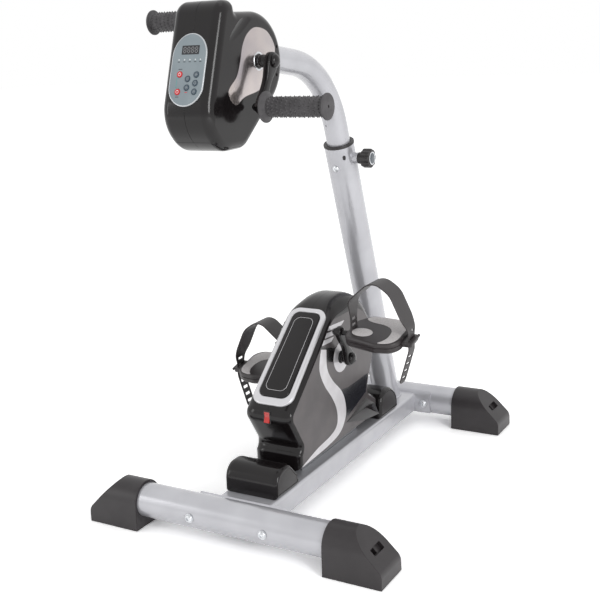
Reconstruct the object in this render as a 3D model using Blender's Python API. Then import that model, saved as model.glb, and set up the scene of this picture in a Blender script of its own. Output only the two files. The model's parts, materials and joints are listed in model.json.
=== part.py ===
# Motorized arm and leg exerciser: a floor stand with a pedal unit on its beam and a hand-crank
# unit on a sliding mast. Lengths are metres, +Z is up and the user sits on the -Y side.

import math

import bmesh
import bpy
from mathutils import Matrix, Vector

# Clearances
FIT_GAP = 0.0003              # between pieces that touch
RUN_GAP = 0.0005              # between a belt and the pulleys that turn in it

# Stand: cross tubes, feet and beam
FRONT_TUBE_Y = -0.3370        # places the stand so that the origin is under its middle
TUBE_RADIUS = 0.032
TUBE_WALL = 0.002
TUBE_HEIGHT = 0.0492          # tube axis above the floor
FRONT_HALF_WIDTH = 0.3061
REAR_HALF_WIDTH = 0.2558
FOOT_LENGTH = 0.111
FOOT_WIDTH = 0.0785
FOOT_WALL = 0.0052            # rubber over the top of the tube
FOOT_SOCKET = 0.048           # depth of the tube's seat in a foot
FOOT_SLOPE_START = 0.052      # from a foot's inner face to the start of its slope
FOOT_LIP_HEIGHT = 0.0273      # where the slope ends, above the floor
FOOT_POCKET_WIDTH = 0.035
FOOT_POCKET_LENGTH = 0.014
FOOT_POCKET_DEPTH = 0.007
FOOT_POCKET_PLACE = 0.58      # share of the way down the slope
BEAM_HALF_WIDTH = 0.056
BEAM_DEPTH = 0.0429
BEAM_BOTTOM = 0.0266
BEAM_WALL = 0.0025
BEAM_CORNER = 0.006
SADDLE_THICKNESS = 0.004
SADDLE_WRAP = math.radians(47)
SADDLE_MARGIN = 0.015         # saddle past each bolt's axis
BOLT_FROM_BEAM = 0.021        # bolt axis from the beam's side
BOLT_RADIUS = 0.004
BOLT_HEAD_HALF_FLATS = 0.0062
BOLT_HEAD_HEIGHT = 0.0045
WASHER_RADIUS = 0.0085
WASHER_THICKNESS = 0.0015
NUT_HEIGHT = 0.0065

# Bays along the beam, from front to rear
FRONT_BAY = 0.0182            # front saddle to front mount
FRONT_MOUNT_LENGTH = 0.0855
FRONT_MOUNT_HEIGHT = 0.0525
UNIT_BAY = 0.010              # front mount to leg housing
LEG_FOOT_LENGTH = 0.3335
REAR_MOUNT_LENGTH = 0.088
REAR_MOUNT_HEIGHT = 0.059
MOUNT_WALL = 0.003
MOUNT_EDGE = 0.007
MOUNT_LEAN = 0.0035           # of a mount's front face over its height
MOUNT_FOOT_RADIUS = 0.002
FRONT_MOUNT_TOP_END = 0.036   # from the mount's rear end
FRONT_MOUNT_WAIST = 0.009     # from the mount's rear end
FRONT_MOUNT_WAIST_DROP = 0.030
FRONT_MOUNT_BROW_RADIUS = 0.018
FRONT_MOUNT_TOP_RADIUS = 0.012
FRONT_MOUNT_WAIST_RADIUS = 0.020
REAR_MOUNT_TOP_END = 0.050    # from the mount's rear end
REAR_MOUNT_WAIST = 0.007      # from the mount's rear end
REAR_MOUNT_WAIST_DROP = 0.037
REAR_MOUNT_BROW_RADIUS = 0.008
REAR_MOUNT_TOP_RADIUS = 0.016
REAR_MOUNT_WAIST_RADIUS = 0.016
POST_BAY = 0.0272             # rear mount to post, at the beam's top
POST_TO_SADDLE = 0.0035

# Post, mast and clamp
POST_RADIUS = 0.030
POST_WALL = 0.002
POST_LEAN = math.radians(17.1)
POST_LENGTH = 0.6178
BUSH_FLANGE_HEIGHT = 0.0045
BUSH_FLANGE_MARGIN = 0.0006   # flange past the post's surface
BUSH_DEPTH = 0.060
BUSH_EDGE = 0.001
MAST_RADIUS = 0.0235
MAST_WALL = 0.002
MAST_INSERT = 0.230
MAST_RISE = 0.0371            # straight part above the post
MAST_BEND_RADIUS = 0.190
MAST_BEND = math.radians(64.7)
MAST_NECK = 0.137             # straight part after the bend
CLAMP_DROP = 0.0293           # clamp axis below the post's top
BOSS_RADIUS = 0.011
BOSS_LENGTH = 0.010
PIN_RADIUS = 0.004
PIN_LENGTH = 0.036
KNOB_NECK_RADIUS = 0.0115
KNOB_NECK_LENGTH = 0.009
KNOB_RADIUS = 0.0175
KNOB_LOBE = 0.0015
KNOB_LOBES = 8
KNOB_LENGTH = 0.020
KNOB_EDGE = 0.002
KNOB_END_EDGE = 0.003
SCREW_DROP = 0.040
SCREW_HEAD_RADIUS = 0.0065
SCREW_HEAD_HEIGHT = 0.003
SCREW_RADIUS = 0.0025
SLOT_TURN = math.radians(40)  # round the post from its front
SLOT_DROP = 0.0194
SLOT_LENGTH = 0.010
SLOT_WIDTH = 0.0065

# Leg unit, measured from the foot's front end and the beam's top
LEG_HALF_WIDTH = 0.050
LEG_EDGE = 0.008
LEG_WALL = 0.003
LEG_LIFT = 0.0135
LEG_HEIGHT = 0.3035
LEG_FRONT_STEP = 0.0485
LEG_THROAT_Y = 0.012
LEG_THROAT_Z = 0.0585
LEG_NOSE_Y = -0.033
LEG_NOSE_Z = 0.131
LEG_NOSE_RADIUS = 0.022
LEG_BROW_Y = 0.1727
LEG_BROW_RADIUS = 0.060
LEG_BACK_Y = 0.322
LEG_BACK_RADIUS = 0.095
LEG_HEEL_Y = 0.325
LEG_HEEL_Z = 0.1485
LEG_HOLLOW_Y = 0.292
LEG_HOLLOW_Z = 0.0825
LEG_REAR_STEP = 0.0565
LEG_FOOT_RADIUS = 0.003
LEG_STEP_RADIUS = 0.008
LEG_HOLLOW_RADIUS = 0.012
LEG_HEEL_RADIUS = 0.025
LEG_THROAT_RADIUS = 0.010
LEG_AXLE_Y = 0.178
LEG_AXLE_Z = 0.1885
LEG_AXLE_RADIUS = 0.008
LEG_PULLEY_RADIUS = 0.060
LEG_MOTOR_Y = 0.085
LEG_MOTOR_Z = 0.0955
LEG_MOTOR_RADIUS = 0.032
LEG_MOTOR_LENGTH = 0.041
LEG_CHASSIS_HALF_WIDTH = 0.030
LEG_CHASSIS_FRONT = 0.040
LEG_CHASSIS_LENGTH = 0.230
LEG_CHASSIS_STEP = 0.012      # pedestal top above the housing's floor
LEG_CHASSIS_MARGIN = 0.002    # pedestal past the upright plate
LEG_CHASSIS_HEAD = 0.0374     # upright plate past the axle
LEG_CHASSIS_BROW = 0.0416     # upright plate over the motor's axis
LEG_CHASSIS_CORNER = 0.030
CHASSIS_FOOT_CORNER = 0.004
LEG_BEARING_RADIUS = 0.017
LEG_BEARING_LENGTH = 0.036
TRIM_START = 0.006            # from the slope's lower end
TRIM_LENGTH = 0.208
TRIM_BOTTOM_HALF = 0.0425
TRIM_TOP_HALF = 0.0405
TRIM_CORNER = 0.021
TRIM_BAR = 0.0105
TRIM_THICKNESS = 0.0035
TRIM_CHAMFER = 0.0012
PLATE_THICKNESS = 0.0045
PLATE_CHAMFER = 0.0015
SWITCH_HALF_WIDTH = 0.0055
SWITCH_HALF_HEIGHT = 0.0105
SWITCH_DEPTH = 0.0072         # pivot behind the nose
SWITCH_PROUD = 0.001
SWITCH_DISH = 0.002           # hollow of the rocker's face
SWITCH_BACK = 0.003           # rocker behind its pivot
SWITCH_BACK_HALF = 0.0084
SWITCH_HOLE_BACK = 0.0043
SWITCH_TILT = math.radians(7)
INLET_X = 0.020
INLET_RISE = 0.034            # up the back wall from the heel
INLET_HALF_WIDTH = 0.012
INLET_HALF_HEIGHT = 0.009
INLET_WALL = 0.0022
INLET_FLANGE = 0.003
INLET_FLANGE_THICKNESS = 0.0025
INLET_DEPTH = 0.018

# Belt drives
PLATE_HALF = 0.002            # half of a chassis plate's thickness
PULLEY_GAP = 0.004            # chassis plate to pulley
PULLEY_WIDTH = 0.010
MOTOR_PULLEY_RADIUS = 0.012
MOTOR_SHAFT_RADIUS = 0.004
MOTOR_SHAFT_DEPTH = 0.020
MOTOR_EDGE = 0.002
BELT_MARGIN = 0.0005          # belt edge inside its pulley's edge
BELT_THICKNESS = 0.0025

# Leg cranks, pedals and straps
LEG_CRANK_LENGTH = 0.070
LEG_CRANK_TURN = math.radians(28.6)
CRANK_RUN = 0.003             # housing to crank neck
LEG_CRANK_NECK = 0.009
LEG_CRANK_THICKNESS = 0.012
CRANK_HUB_RADIUS = 0.0145
CRANK_END_RADIUS = 0.0115
CRANK_NECK_RADIUS = 0.0105
CRANK_CAP_RADIUS = 0.0112
CRANK_CAP_BASE = 0.0015       # straight part of the hub's cap
CRANK_CAP_HEIGHT = 0.0065
CRANK_EDGE = 0.0025
BALL_NUT_RADIUS = 0.0075
BALL_NUT_LENGTH = 0.010
LEG_SPINDLE_RADIUS = 0.005
PEDAL_GAP = 0.013             # crank to pedal
PEDAL_LENGTH = 0.116
PEDAL_FRONT = 0.041
PEDAL_REAR = 0.064
PEDAL_TOP = 0.0075
PEDAL_THICKNESS = 0.0215
PEDAL_EDGE = 0.005
PEDAL_TOE_X = 0.0708          # foremost corner from the inner end
PEDAL_HEEL_X = 0.0232         # rearmost corner from the inner end
PEDAL_INNER_FRONT = 0.0246    # reach of the inner end before the spindle
PEDAL_INNER_REAR = 0.0384
PEDAL_OUTER_FRONT = 0.0353
PEDAL_OUTER_REAR = 0.0576
PEDAL_SMALL_RADIUS = 0.018
PEDAL_HEEL_RADIUS = 0.022
PEDAL_LARGE_RADIUS = 0.028
PEDAL_TILT = math.radians(13)
PEDAL_SPINDLE_END = 0.012     # pedal past the spindle's end
STRAP_Y = 0.0055              # band's middle from the spindle
STRAP_WIDTH = 0.030
STRAP_THICKNESS = 0.0024
STRAP_INSET = 0.009           # inner leg from the pedal's inner end
STRAP_SEAT = 0.0015           # depth of the strap in the pedal
STRAP_KNEE = 0.068
STRAP_KNEE_RADIUS = 0.018
STRAP_PEAK_X = 0.061
STRAP_PEAK_Z = 0.112
STRAP_PEAK_RADIUS = 0.028
STRAP_SHOULDER_X = 0.097
STRAP_SHOULDER_Z = 0.088
STRAP_SHOULDER_RADIUS = 0.042
STRAP_OUTSET = 0.012          # outer leg from the pedal's outer end
STRAP_OUTER_Z = 0.022
STRAP_OUTER_RADIUS = 0.030
STRAP_TAIL_TOP = -0.020
STRAP_TAIL_RADIUS = 0.020
STRAP_TAIL_END_Z = -0.087
STRAP_TAIL_SWING = 0.027
STRAP_SLOT_WIDTH = 0.012
STRAP_SLOT_HEIGHT = 0.0048
STRAP_SLOT_STEP = 0.014
LUG_LENGTH = 0.020
LUG_HALF_WIDTH = 0.0185
LUG_TOP = 0.001
LUG_BOTTOM = -0.0095
LUG_CORNER = 0.005

# Arm unit, measured from its axle
ARM_REACH = 0.1887            # bend's end to axle, along Y
ARM_RISE = 0.0106             # bend's end to axle, along Z
ARM_HALF_WIDTH = 0.0475
ARM_EDGE = 0.010
ARM_WALL = 0.003
ARM_BODY_RADIUS = 0.080
ARM_CHIN_DROP = 0.1365
ARM_CHIN_BACK = 0.0487
ARM_CHIN_FRONT = 0.137
ARM_CHIN_RADIUS = 0.036
ARM_CHEEK_Y = 0.157
ARM_CHEEK_Z = 0.0715
ARM_CHEEK_RADIUS = 0.060
ARM_CREST_Y = 0.096
ARM_CREST_Z = 0.0985
ARM_CREST_RADIUS = 0.040
ARM_CREST_BACK = 0.053
ARM_CREST_FOOT = 0.047
ARM_CORNER = 0.008
ARM_LOWER_Z = 0.040
ARM_AXLE_RADIUS = 0.007
ARM_PULLEY_RADIUS = 0.042
ARM_MOTOR_Y = -0.092
ARM_MOTOR_Z = -0.070
ARM_MOTOR_RADIUS = 0.026
ARM_MOTOR_LENGTH = 0.037
ARM_BEARING_RADIUS = 0.015
ARM_BEARING_LENGTH = 0.034
PLUG_LENGTH = 0.022
PLUG_FLANGE = 0.004           # plug's rim on the mast's end
ARM_CHASSIS_CORNER = 0.014
ARM_CHASSIS_MOTOR_HALF = 0.022
ARM_CHASSIS_MOTOR_DROP = 0.020
ARM_CHASSIS_MOTOR_RISE = 0.024
ARM_CHASSIS_HEAD = 0.024      # plate above the axle
ARM_CHASSIS_CHEST = 0.018     # plate below the axle
ARM_CHASSIS_ROOT_HALF = 0.018  # plate's half height at the plug
ARM_CRANK_LENGTH = 0.0815
ARM_CRANK_TURN = math.radians(150.6)
ARM_CRANK_NECK = 0.014
ARM_CRANK_THICKNESS = 0.012
ARM_SPINDLE_RADIUS = 0.005
ARM_SPINDLE_REACH = 0.103
GRIP_GAP = 0.0025             # crank to grip
GRIP_LENGTH = 0.116
GRIP_RADIUS = 0.0155
GRIP_FLANGE_RADIUS = 0.0255
GRIP_FLANGE = 0.003
GRIP_DISC_RADIUS = 0.0215
GRIP_DISC = 0.003

# Console, measured up its face from the lower end of the panel
CONSOLE_START = 0.0115        # from the cheek corner of the housing
CONSOLE_LENGTH = 0.117
CONSOLE_HALF_WIDTH = 0.0328
CONSOLE_LOWER = 0.032
CONSOLE_UPPER = 0.080
CONSOLE_THICKNESS = 0.0022
CONSOLE_EDGE = 0.0008
CONSOLE_SEAT = 0.004          # panel's lip over the housing
CONSOLE_RIM = 0.002
CONSOLE_DEPTH = 0.0055
BOARD_THICKNESS = 0.0016
BUTTON_RADIUS = 0.005
BUTTON_CLEARANCE = 0.0003
BUTTON_FLANGE = 0.0012
BUTTON_FLANGE_THICKNESS = 0.0014
BUTTON_PROUD = 0.0008
BUTTON_EDGE = 0.0004
BUTTON_STEM_RADIUS = 0.002
BUTTON_STEM_GAP = 0.0009
BUTTON_PLACES = {
    "button_power": (-0.014, 0.0513),
    "button_start": (-0.0145, 0.0235),
    "button_mode": (0.002, 0.044),
    "button_enter": (0.002, 0.030),
    "button_up": (0.0177, 0.0504),
    "button_reset": (0.0173, 0.0370),
    "button_down": (0.0172, 0.0234),
}

# Finishes: base colour, roughness, metallic
PAINT = ((0.53, 0.53, 0.545), 0.35, 0.55)
ZINC = ((0.60, 0.61, 0.62), 0.30, 1.0)
STEEL = ((0.42, 0.43, 0.45), 0.40, 1.0)
GLOSS_BLACK = ((0.012, 0.011, 0.011), 0.12, 0.0)
MATT_BLACK = ((0.020, 0.020, 0.021), 0.50, 0.0)
RUBBER = ((0.028, 0.028, 0.029), 0.75, 0.0)
CHARCOAL = ((0.022, 0.021, 0.021), 0.55, 0.0)
SILVER = ((0.66, 0.66, 0.67), 0.30, 0.6)
CONSOLE_GREY = ((0.20, 0.25, 0.27), 0.45, 0.0)
BUTTON_BLUE = ((0.05, 0.08, 0.11), 0.45, 0.0)
BUTTON_RED = ((0.75, 0.03, 0.03), 0.40, 0.0)
BOARD_GREEN = ((0.02, 0.13, 0.06), 0.50, 0.0)

FINE = 24
MEDIUM = 16
COARSE = 10
SMOOTH_ANGLE = math.radians(32)

# Sizes that follow from those above
TUBE_INNER = TUBE_RADIUS - TUBE_WALL
SADDLE_INNER = TUBE_RADIUS + FIT_GAP
SADDLE_OUTER = SADDLE_INNER + SADDLE_THICKNESS
BEAM_TOP = BEAM_BOTTOM + BEAM_DEPTH
BOLT_X = BEAM_HALF_WIDTH + BOLT_FROM_BEAM
FRONT_MOUNT_Y = SADDLE_OUTER + FRONT_BAY
LEG_UNIT_Y = FRONT_MOUNT_Y + FRONT_MOUNT_LENGTH + UNIT_BAY
POST_HALF = POST_RADIUS / math.cos(POST_LEAN)
POST_FOOT_Y = LEG_UNIT_Y + LEG_FOOT_LENGTH + FIT_GAP + REAR_MOUNT_LENGTH + POST_BAY + POST_HALF
SADDLE_REACH = math.sqrt(SADDLE_OUTER ** 2 - (BEAM_TOP - TUBE_HEIGHT) ** 2)
REAR_TUBE_Y = POST_FOOT_Y + POST_HALF + POST_TO_SADDLE + SADDLE_REACH
POST_INNER = POST_RADIUS - POST_WALL
PULLEY_OUT = -PLATE_HALF - PULLEY_GAP
PULLEY_IN = PULLEY_OUT - PULLEY_WIDTH


# Outlines

def circle(radius, count):
    """Points of a circle, counter-clockwise."""
    turns = [2 * math.pi * i / count for i in range(count)]
    return [(radius * math.cos(turn), radius * math.sin(turn)) for turn in turns]


def flats(half_flats, sides, count):
    """Points along a regular polygon, one for each point of a circle of the same count."""
    sector = 2 * math.pi / sides
    points = []
    for i in range(count):
        turn = 2 * math.pi * i / count
        radius = half_flats / math.cos(turn % sector - sector / 2)
        points.append((radius * math.cos(turn), radius * math.sin(turn)))
    return points


def arc_steps(radius):
    """Chords in a corner of this radius."""
    if radius <= 0.003:
        return 1
    if radius <= 0.012:
        return 3
    return 4 if radius <= 0.030 else 6


def inset_corners(corners, inset):
    """Moves the straight sides of a counter-clockwise outline inward, and its radii with them."""
    moved = []
    for i, (across, up, radius) in enumerate(corners):
        here = Vector((across, up))
        before = Vector(corners[i - 1][:2])
        after = Vector(corners[(i + 1) % len(corners)][:2])
        coming = (here - before).normalized()
        going = (after - here).normalized()
        first = Vector((-coming.y, coming.x))
        second = Vector((-going.y, going.x))
        place = here + (first + second) * inset / (1 + first.dot(second))
        convex = coming.x * going.y > coming.y * going.x
        bend = max(radius - inset, 0.0002) if convex else radius + inset
        moved.append((place.x, place.y, bend))
    return moved


def corner_arc(before, here, after, radius, steps):
    """Points of the arc that rounds one corner."""
    corner = Vector(here)
    back = (Vector(before) - corner).normalized()
    ahead = (Vector(after) - corner).normalized()
    half = back.angle(ahead) / 2
    centre = corner + (back + ahead).normalized() * radius / math.sin(half)
    start = corner + back * radius / math.tan(half) - centre
    sweep = math.pi - 2 * half
    if back.x * ahead.y > back.y * ahead.x:
        sweep = -sweep
    turns = [sweep * i / steps for i in range(steps + 1)]
    return [tuple(centre + Matrix.Rotation(turn, 2) @ start) for turn in turns]


def outline(corners, inset=0.0):
    """Points of a closed outline with rounded corners, moved inward by the inset."""
    moved = inset_corners(corners, inset)
    points = []
    for i, (across, up, radius) in enumerate(moved):
        before = moved[i - 1][:2]
        after = moved[(i + 1) % len(moved)][:2]
        points += corner_arc(before, (across, up), after, radius, arc_steps(corners[i][2]))
    return points


def rounded_path(corners):
    """Points of an open path whose inner corners are rounded."""
    points = [corners[0][:2]]
    for before, here, after in zip(corners, corners[1:], corners[2:]):
        points += corner_arc(before[:2], here[:2], after[:2], here[2], 5)
    return points + [corners[-1][:2]]


def rectangle(half_across, half_up, radius):
    """Corners of a centred rectangle."""
    return [
        (-half_across, -half_up, radius),
        (half_across, -half_up, radius),
        (half_across, half_up, radius),
        (-half_across, half_up, radius),
    ]


def at_x(points, x):
    """Places an outline across the X axis."""
    return [Vector((x, across, up)) for across, up in points]


def at_y(points, y):
    """Places an outline across the Y axis."""
    return [Vector((across, y, up)) for across, up in points]


def at_z(points, z):
    """Places an outline across the Z axis."""
    return [Vector((across, up, z)) for across, up in points]


# Solids

def loft(rings, closed=False):
    """Skins rings of points into one solid, with end caps or joined end to start."""
    solid = bmesh.new()
    loops = [[solid.verts.new(point) for point in ring] for ring in rings]
    pairs = list(zip(loops, loops[1:]))
    if closed:
        pairs.append((loops[-1], loops[0]))
    else:
        solid.faces.new(reversed(loops[0]))
        solid.faces.new(loops[-1])
    for near, far in pairs:
        for i, corner in enumerate(near):
            after = (i + 1) % len(near)
            solid.faces.new((corner, near[after], far[after], far[i]))
    bmesh.ops.remove_doubles(solid, verts=solid.verts, dist=0.000001)
    if solid.calc_volume(signed=True) < 0:
        bmesh.ops.reverse_faces(solid, faces=solid.faces)
    return solid


def turned(profile, count, place=at_x, closed=False):
    """A turned solid from (distance along the axis, radius) pairs."""
    return loft([place(circle(radius, count), along) for along, radius in profile], closed)


def dome(start, length, radius, steps=3):
    """Profile of a rounded end that starts at full radius."""
    turns = [math.radians(72) * i / steps for i in range(1, steps + 1)]
    return [(start + length * math.sin(turn), radius * math.cos(turn)) for turn in turns]


def rounded_prism(corners, start, end, edge, place=at_x):
    """A prism whose two end edges are chamfered."""
    step = edge if end > start else -edge
    return loft([
        place(outline(corners, edge), start),
        place(outline(corners), start + step),
        place(outline(corners), end - step),
        place(outline(corners, edge), end),
    ])


def half_shell(corners, side, half_width, edge, wall):
    """One half of a hollow housing, open at the middle plane."""
    middle = FIT_GAP / 2
    inner = [
        (half_width - wall, edge),
        (half_width - edge, wall),
        (middle, wall),
    ]
    outer = [(middle, 0.0)]
    for i in range(3):
        turn = math.pi / 2 * i / 2
        outer.append((half_width - edge + edge * math.sin(turn), edge - edge * math.cos(turn)))
    return loft([at_x(outline(corners, inset), side * x) for x, inset in inner + outer])


def band(path, half_width, thickness, middle):
    """A flat band swept along a path in the XZ plane."""
    rings = []
    for i, point in enumerate(path):
        before = Vector(path[max(i - 1, 0)])
        after = Vector(path[min(i + 1, len(path) - 1)])
        along = (after - before).normalized()
        normal = Vector((-along.y, along.x)) * thickness / 2
        near = Vector(point) - normal
        far = Vector(point) + normal
        rings.append([
            Vector((near.x, middle - half_width, near.y)),
            Vector((near.x, middle + half_width, near.y)),
            Vector((far.x, middle + half_width, far.y)),
            Vector((far.x, middle - half_width, far.y)),
        ])
    return loft(rings)


def box(low, high):
    """A plain box between two corners."""
    solid = bmesh.new()
    bmesh.ops.create_cube(solid, size=1.0)
    size = Vector(high) - Vector(low)
    bmesh.ops.scale(solid, vec=size, verts=solid.verts)
    bmesh.ops.translate(solid, vec=(Vector(high) + Vector(low)) / 2, verts=solid.verts)
    return solid


# Objects

def empty(name, location, turn=0.0, parent=None):
    """A frame for other objects, turned about X."""
    frame = bpy.data.objects.new(name, None)
    frame.empty_display_size = 0.02
    frame.location = location
    frame.rotation_euler.x = turn
    frame.parent = parent
    bpy.context.collection.objects.link(frame)
    return frame


def place_object(name, solid, parent, location, turn):
    """Turns a bmesh into an object."""
    mesh = bpy.data.meshes.new(name)
    solid.to_mesh(mesh)
    solid.free()
    item = bpy.data.objects.new(name, mesh)
    item.location = location
    item.rotation_euler.x = turn
    item.parent = parent
    bpy.context.collection.objects.link(item)
    return item


def part(name, solid, finish, parent, location=(0, 0, 0), turn=0.0):
    """One piece of the machine, with its own material."""
    item = place_object(name, solid, parent, location, turn)
    colour, roughness, metallic = finish
    material = bpy.data.materials.new(name)
    material.use_nodes = True
    shader = material.node_tree.nodes["Principled BSDF"]
    shader.inputs["Base Color"].default_value = (*colour, 1.0)
    shader.inputs["Roughness"].default_value = roughness
    shader.inputs["Metallic"].default_value = metallic
    item.data.materials.append(material)
    item.data.shade_smooth()
    item.data.set_sharp_from_angle(angle=SMOOTH_ANGLE)
    return item


def shape(target, operation, name, solid, parent, location=(0, 0, 0), turn=0.0):
    """Joins or cuts a piece with a hidden helper shape."""
    helper = place_object(name, solid, parent, location, turn)
    helper.hide_render = True
    helper.display_type = "WIRE"
    modifier = target.modifiers.new(name, "BOOLEAN")
    modifier.operation = operation
    modifier.object = helper
    return helper


def cut(target, name, solid, parent, location=(0, 0, 0), turn=0.0):
    """Takes a shape away from a piece."""
    return shape(target, "DIFFERENCE", "cut_" + name, solid, parent, location, turn)


def join(target, name, solid, parent, location=(0, 0, 0), turn=0.0):
    """Adds a shape to a piece."""
    return shape(target, "UNION", "join_" + name, solid, parent, location, turn)


def face_frame(name, parent, first, second, reach, x=0.0):
    """A frame on a side of an outline, with its Z axis out of the surface and its X along X."""
    start = Vector(first[:2])
    along = (Vector(second[:2]) - start).normalized()
    place = start + along * reach
    turn = math.atan2(-along.y, -along.x)
    return empty(name, (x, place.x, place.y), turn, parent)


# Stand

def build_tube(stand, name, y, half_width, bolts):
    """A cross tube with its bolt holes."""
    half = half_width - FOOT_LENGTH + FOOT_SOCKET
    profile = [(-half, TUBE_RADIUS), (half, TUBE_RADIUS), (half, TUBE_INNER), (-half, TUBE_INNER)]
    tube = part(name, turned(profile, FINE, closed=True), PAINT, stand, (0, y, TUBE_HEIGHT))
    for side in bolts:
        hole = [(-TUBE_RADIUS * 1.5, BOLT_RADIUS + FIT_GAP), (TUBE_RADIUS * 1.5, BOLT_RADIUS + FIT_GAP)]
        cut(tube, name, turned(hole, COARSE, at_y), stand, (side * BOLT_X, y, TUBE_HEIGHT))


def build_foot(stand, name, side, half_width, y):
    """A rubber foot with its tube seat, sloped end and pocket."""
    top_radius = TUBE_RADIUS + FOOT_WALL
    profile = [(-FOOT_WIDTH / 2, 0.0), (FOOT_WIDTH / 2, 0.0)]
    steps = 14
    for i in range(steps + 1):
        turn = math.pi * i / steps
        profile.append((top_radius * math.cos(turn), TUBE_HEIGHT + top_radius * math.sin(turn)))
    inner = half_width - FOOT_LENGTH
    foot = loft([at_x(profile, side * inner), at_x(profile, side * half_width)])
    start = Vector((side * (inner + FOOT_SLOPE_START), 0, TUBE_HEIGHT + top_radius))
    end = Vector((side * half_width, 0, FOOT_LIP_HEIGHT))
    down = end - start
    normal = Vector((-down.z * side, 0, down.x * side)).normalized()
    faces = foot.verts[:] + foot.edges[:] + foot.faces[:]
    bmesh.ops.bisect_plane(foot, geom=faces, plane_co=start, plane_no=normal, clear_outer=True)
    bmesh.ops.holes_fill(foot, edges=foot.edges)
    item = part(name, foot, CHARCOAL, stand, (0, y, 0))
    seat = TUBE_RADIUS + FIT_GAP
    bore = turned([(-side * FIT_GAP, seat), (side * (FOOT_SOCKET + FIT_GAP), seat)], FINE)
    cut(item, name + "_seat", bore, stand, (side * inner, y, TUBE_HEIGHT))
    pocket = cut(item, name + "_pocket", box(
        (-FOOT_POCKET_LENGTH / 2, -FOOT_POCKET_WIDTH / 2, -FOOT_POCKET_DEPTH),
        (FOOT_POCKET_LENGTH / 2, FOOT_POCKET_WIDTH / 2, FOOT_POCKET_DEPTH),
    ), stand, start.lerp(end, FOOT_POCKET_PLACE) + Vector((0, y, 0)))
    pocket.rotation_euler.y = math.atan2(normal.x, normal.z)


def build_saddle(stand, name, y, toward):
    """A curved bracket that holds a cross tube on the beam's end."""
    corners = []
    steps = 8
    for i in range(steps + 1):
        turn = SADDLE_WRAP * (2 * i / steps - 1)
        corners.append((toward * math.cos(turn), math.sin(turn)))
    outer = [(SADDLE_OUTER * across, SADDLE_OUTER * up) for across, up in corners]
    inner = [(SADDLE_INNER * across, SADDLE_INNER * up) for across, up in reversed(corners)]
    half = BOLT_X + SADDLE_MARGIN
    saddle = loft([at_x(outer + inner, -half), at_x(outer + inner, half)])
    item = part(name, saddle, PAINT, stand, (0, y, TUBE_HEIGHT))
    for side in (-1, 1):
        radius = BOLT_RADIUS + FIT_GAP
        hole = turned([(0.0, radius), (toward * SADDLE_OUTER * 1.2, radius)], COARSE, at_y)
        cut(item, name, hole, stand, (side * BOLT_X, y, TUBE_HEIGHT))


def build_bolt(stand, name, x, y, head, tail):
    """A hexagon bolt along Y with its washer and nut, from its head's seat to its nut's seat."""
    way = 1 if tail > head else -1
    washer = head - way * WASHER_THICKNESS
    top = washer - way * BOLT_HEAD_HEIGHT
    hexagon = flats(BOLT_HEAD_HALF_FLATS, 6, COARSE)
    rings = [
        at_y(hexagon, top),
        at_y(hexagon, washer),
        at_y(circle(WASHER_RADIUS, COARSE), washer),
        at_y(circle(WASHER_RADIUS, COARSE), head),
        at_y(circle(BOLT_RADIUS, COARSE), head),
        at_y(circle(BOLT_RADIUS, COARSE), tail),
        at_y(hexagon, tail),
        at_y(hexagon, tail + way * NUT_HEIGHT),
    ]
    part(name, loft(rings), ZINC, stand, (x, y, TUBE_HEIGHT))


def build_beam(stand):
    """The rectangular beam, saddle-cut at both ends."""
    corners = rectangle(BEAM_HALF_WIDTH, BEAM_DEPTH / 2, BEAM_CORNER)
    start = TUBE_RADIUS / 2
    end = REAR_TUBE_Y - TUBE_RADIUS / 2
    rings = [
        at_y(outline(corners), start),
        at_y(outline(corners), end),
        at_y(outline(corners, BEAM_WALL), end),
        at_y(outline(corners, BEAM_WALL), start),
    ]
    middle = BEAM_BOTTOM + BEAM_DEPTH / 2
    beam = part("main_beam", loft(rings, closed=True), PAINT, stand, (0, 0, middle))
    radius = SADDLE_OUTER + FIT_GAP
    half = BEAM_HALF_WIDTH * 1.2
    for y in (0.0, REAR_TUBE_Y):
        cutter = turned([(-half, radius), (half, radius)], 2 * FINE)
        cut(beam, "beam_end", cutter, stand, (0, y, TUBE_HEIGHT))


def build_stand(stand):
    """Cross tubes, feet, saddles, bolts and beam."""
    build_tube(stand, "front_cross_tube", 0.0, FRONT_HALF_WIDTH, (-1, 1))
    build_tube(stand, "rear_cross_tube", REAR_TUBE_Y, REAR_HALF_WIDTH, (-1, 1))
    for word, side in (("right", 1), ("left", -1)):
        build_foot(stand, "front_foot_" + word, side, FRONT_HALF_WIDTH, 0.0)
        build_foot(stand, "rear_foot_" + word, side, REAR_HALF_WIDTH, REAR_TUBE_Y)
        near = TUBE_RADIUS + FIT_GAP
        far = SADDLE_OUTER + FIT_GAP
        build_bolt(stand, "front_bolt_" + word, side * BOLT_X, 0.0, -near, far)
        build_bolt(stand, "rear_bolt_" + word, side * BOLT_X, REAR_TUBE_Y, -far, near)
    build_saddle(stand, "bracket_front", 0.0, 1)
    build_saddle(stand, "bracket_rear", REAR_TUBE_Y, -1)
    build_beam(stand)


def build_mount(deck, name, y, corners):
    """A hollow cover that stands on the beam, open below."""
    half = BEAM_HALF_WIDTH
    mount = part(name, rounded_prism(corners, -half, half, MOUNT_EDGE), GLOSS_BLACK, deck, (0, y, FIT_GAP))
    inner = inset_corners(corners, MOUNT_WALL)
    hollow = [(across, up if up > 2 * MOUNT_WALL else -MOUNT_WALL, bend) for across, up, bend in inner]
    span = half - MOUNT_WALL
    cutter = rounded_prism(hollow, -span, span, MOUNT_EDGE - MOUNT_WALL)
    cut(mount, name, cutter, deck, (0, y, FIT_GAP))


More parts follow.
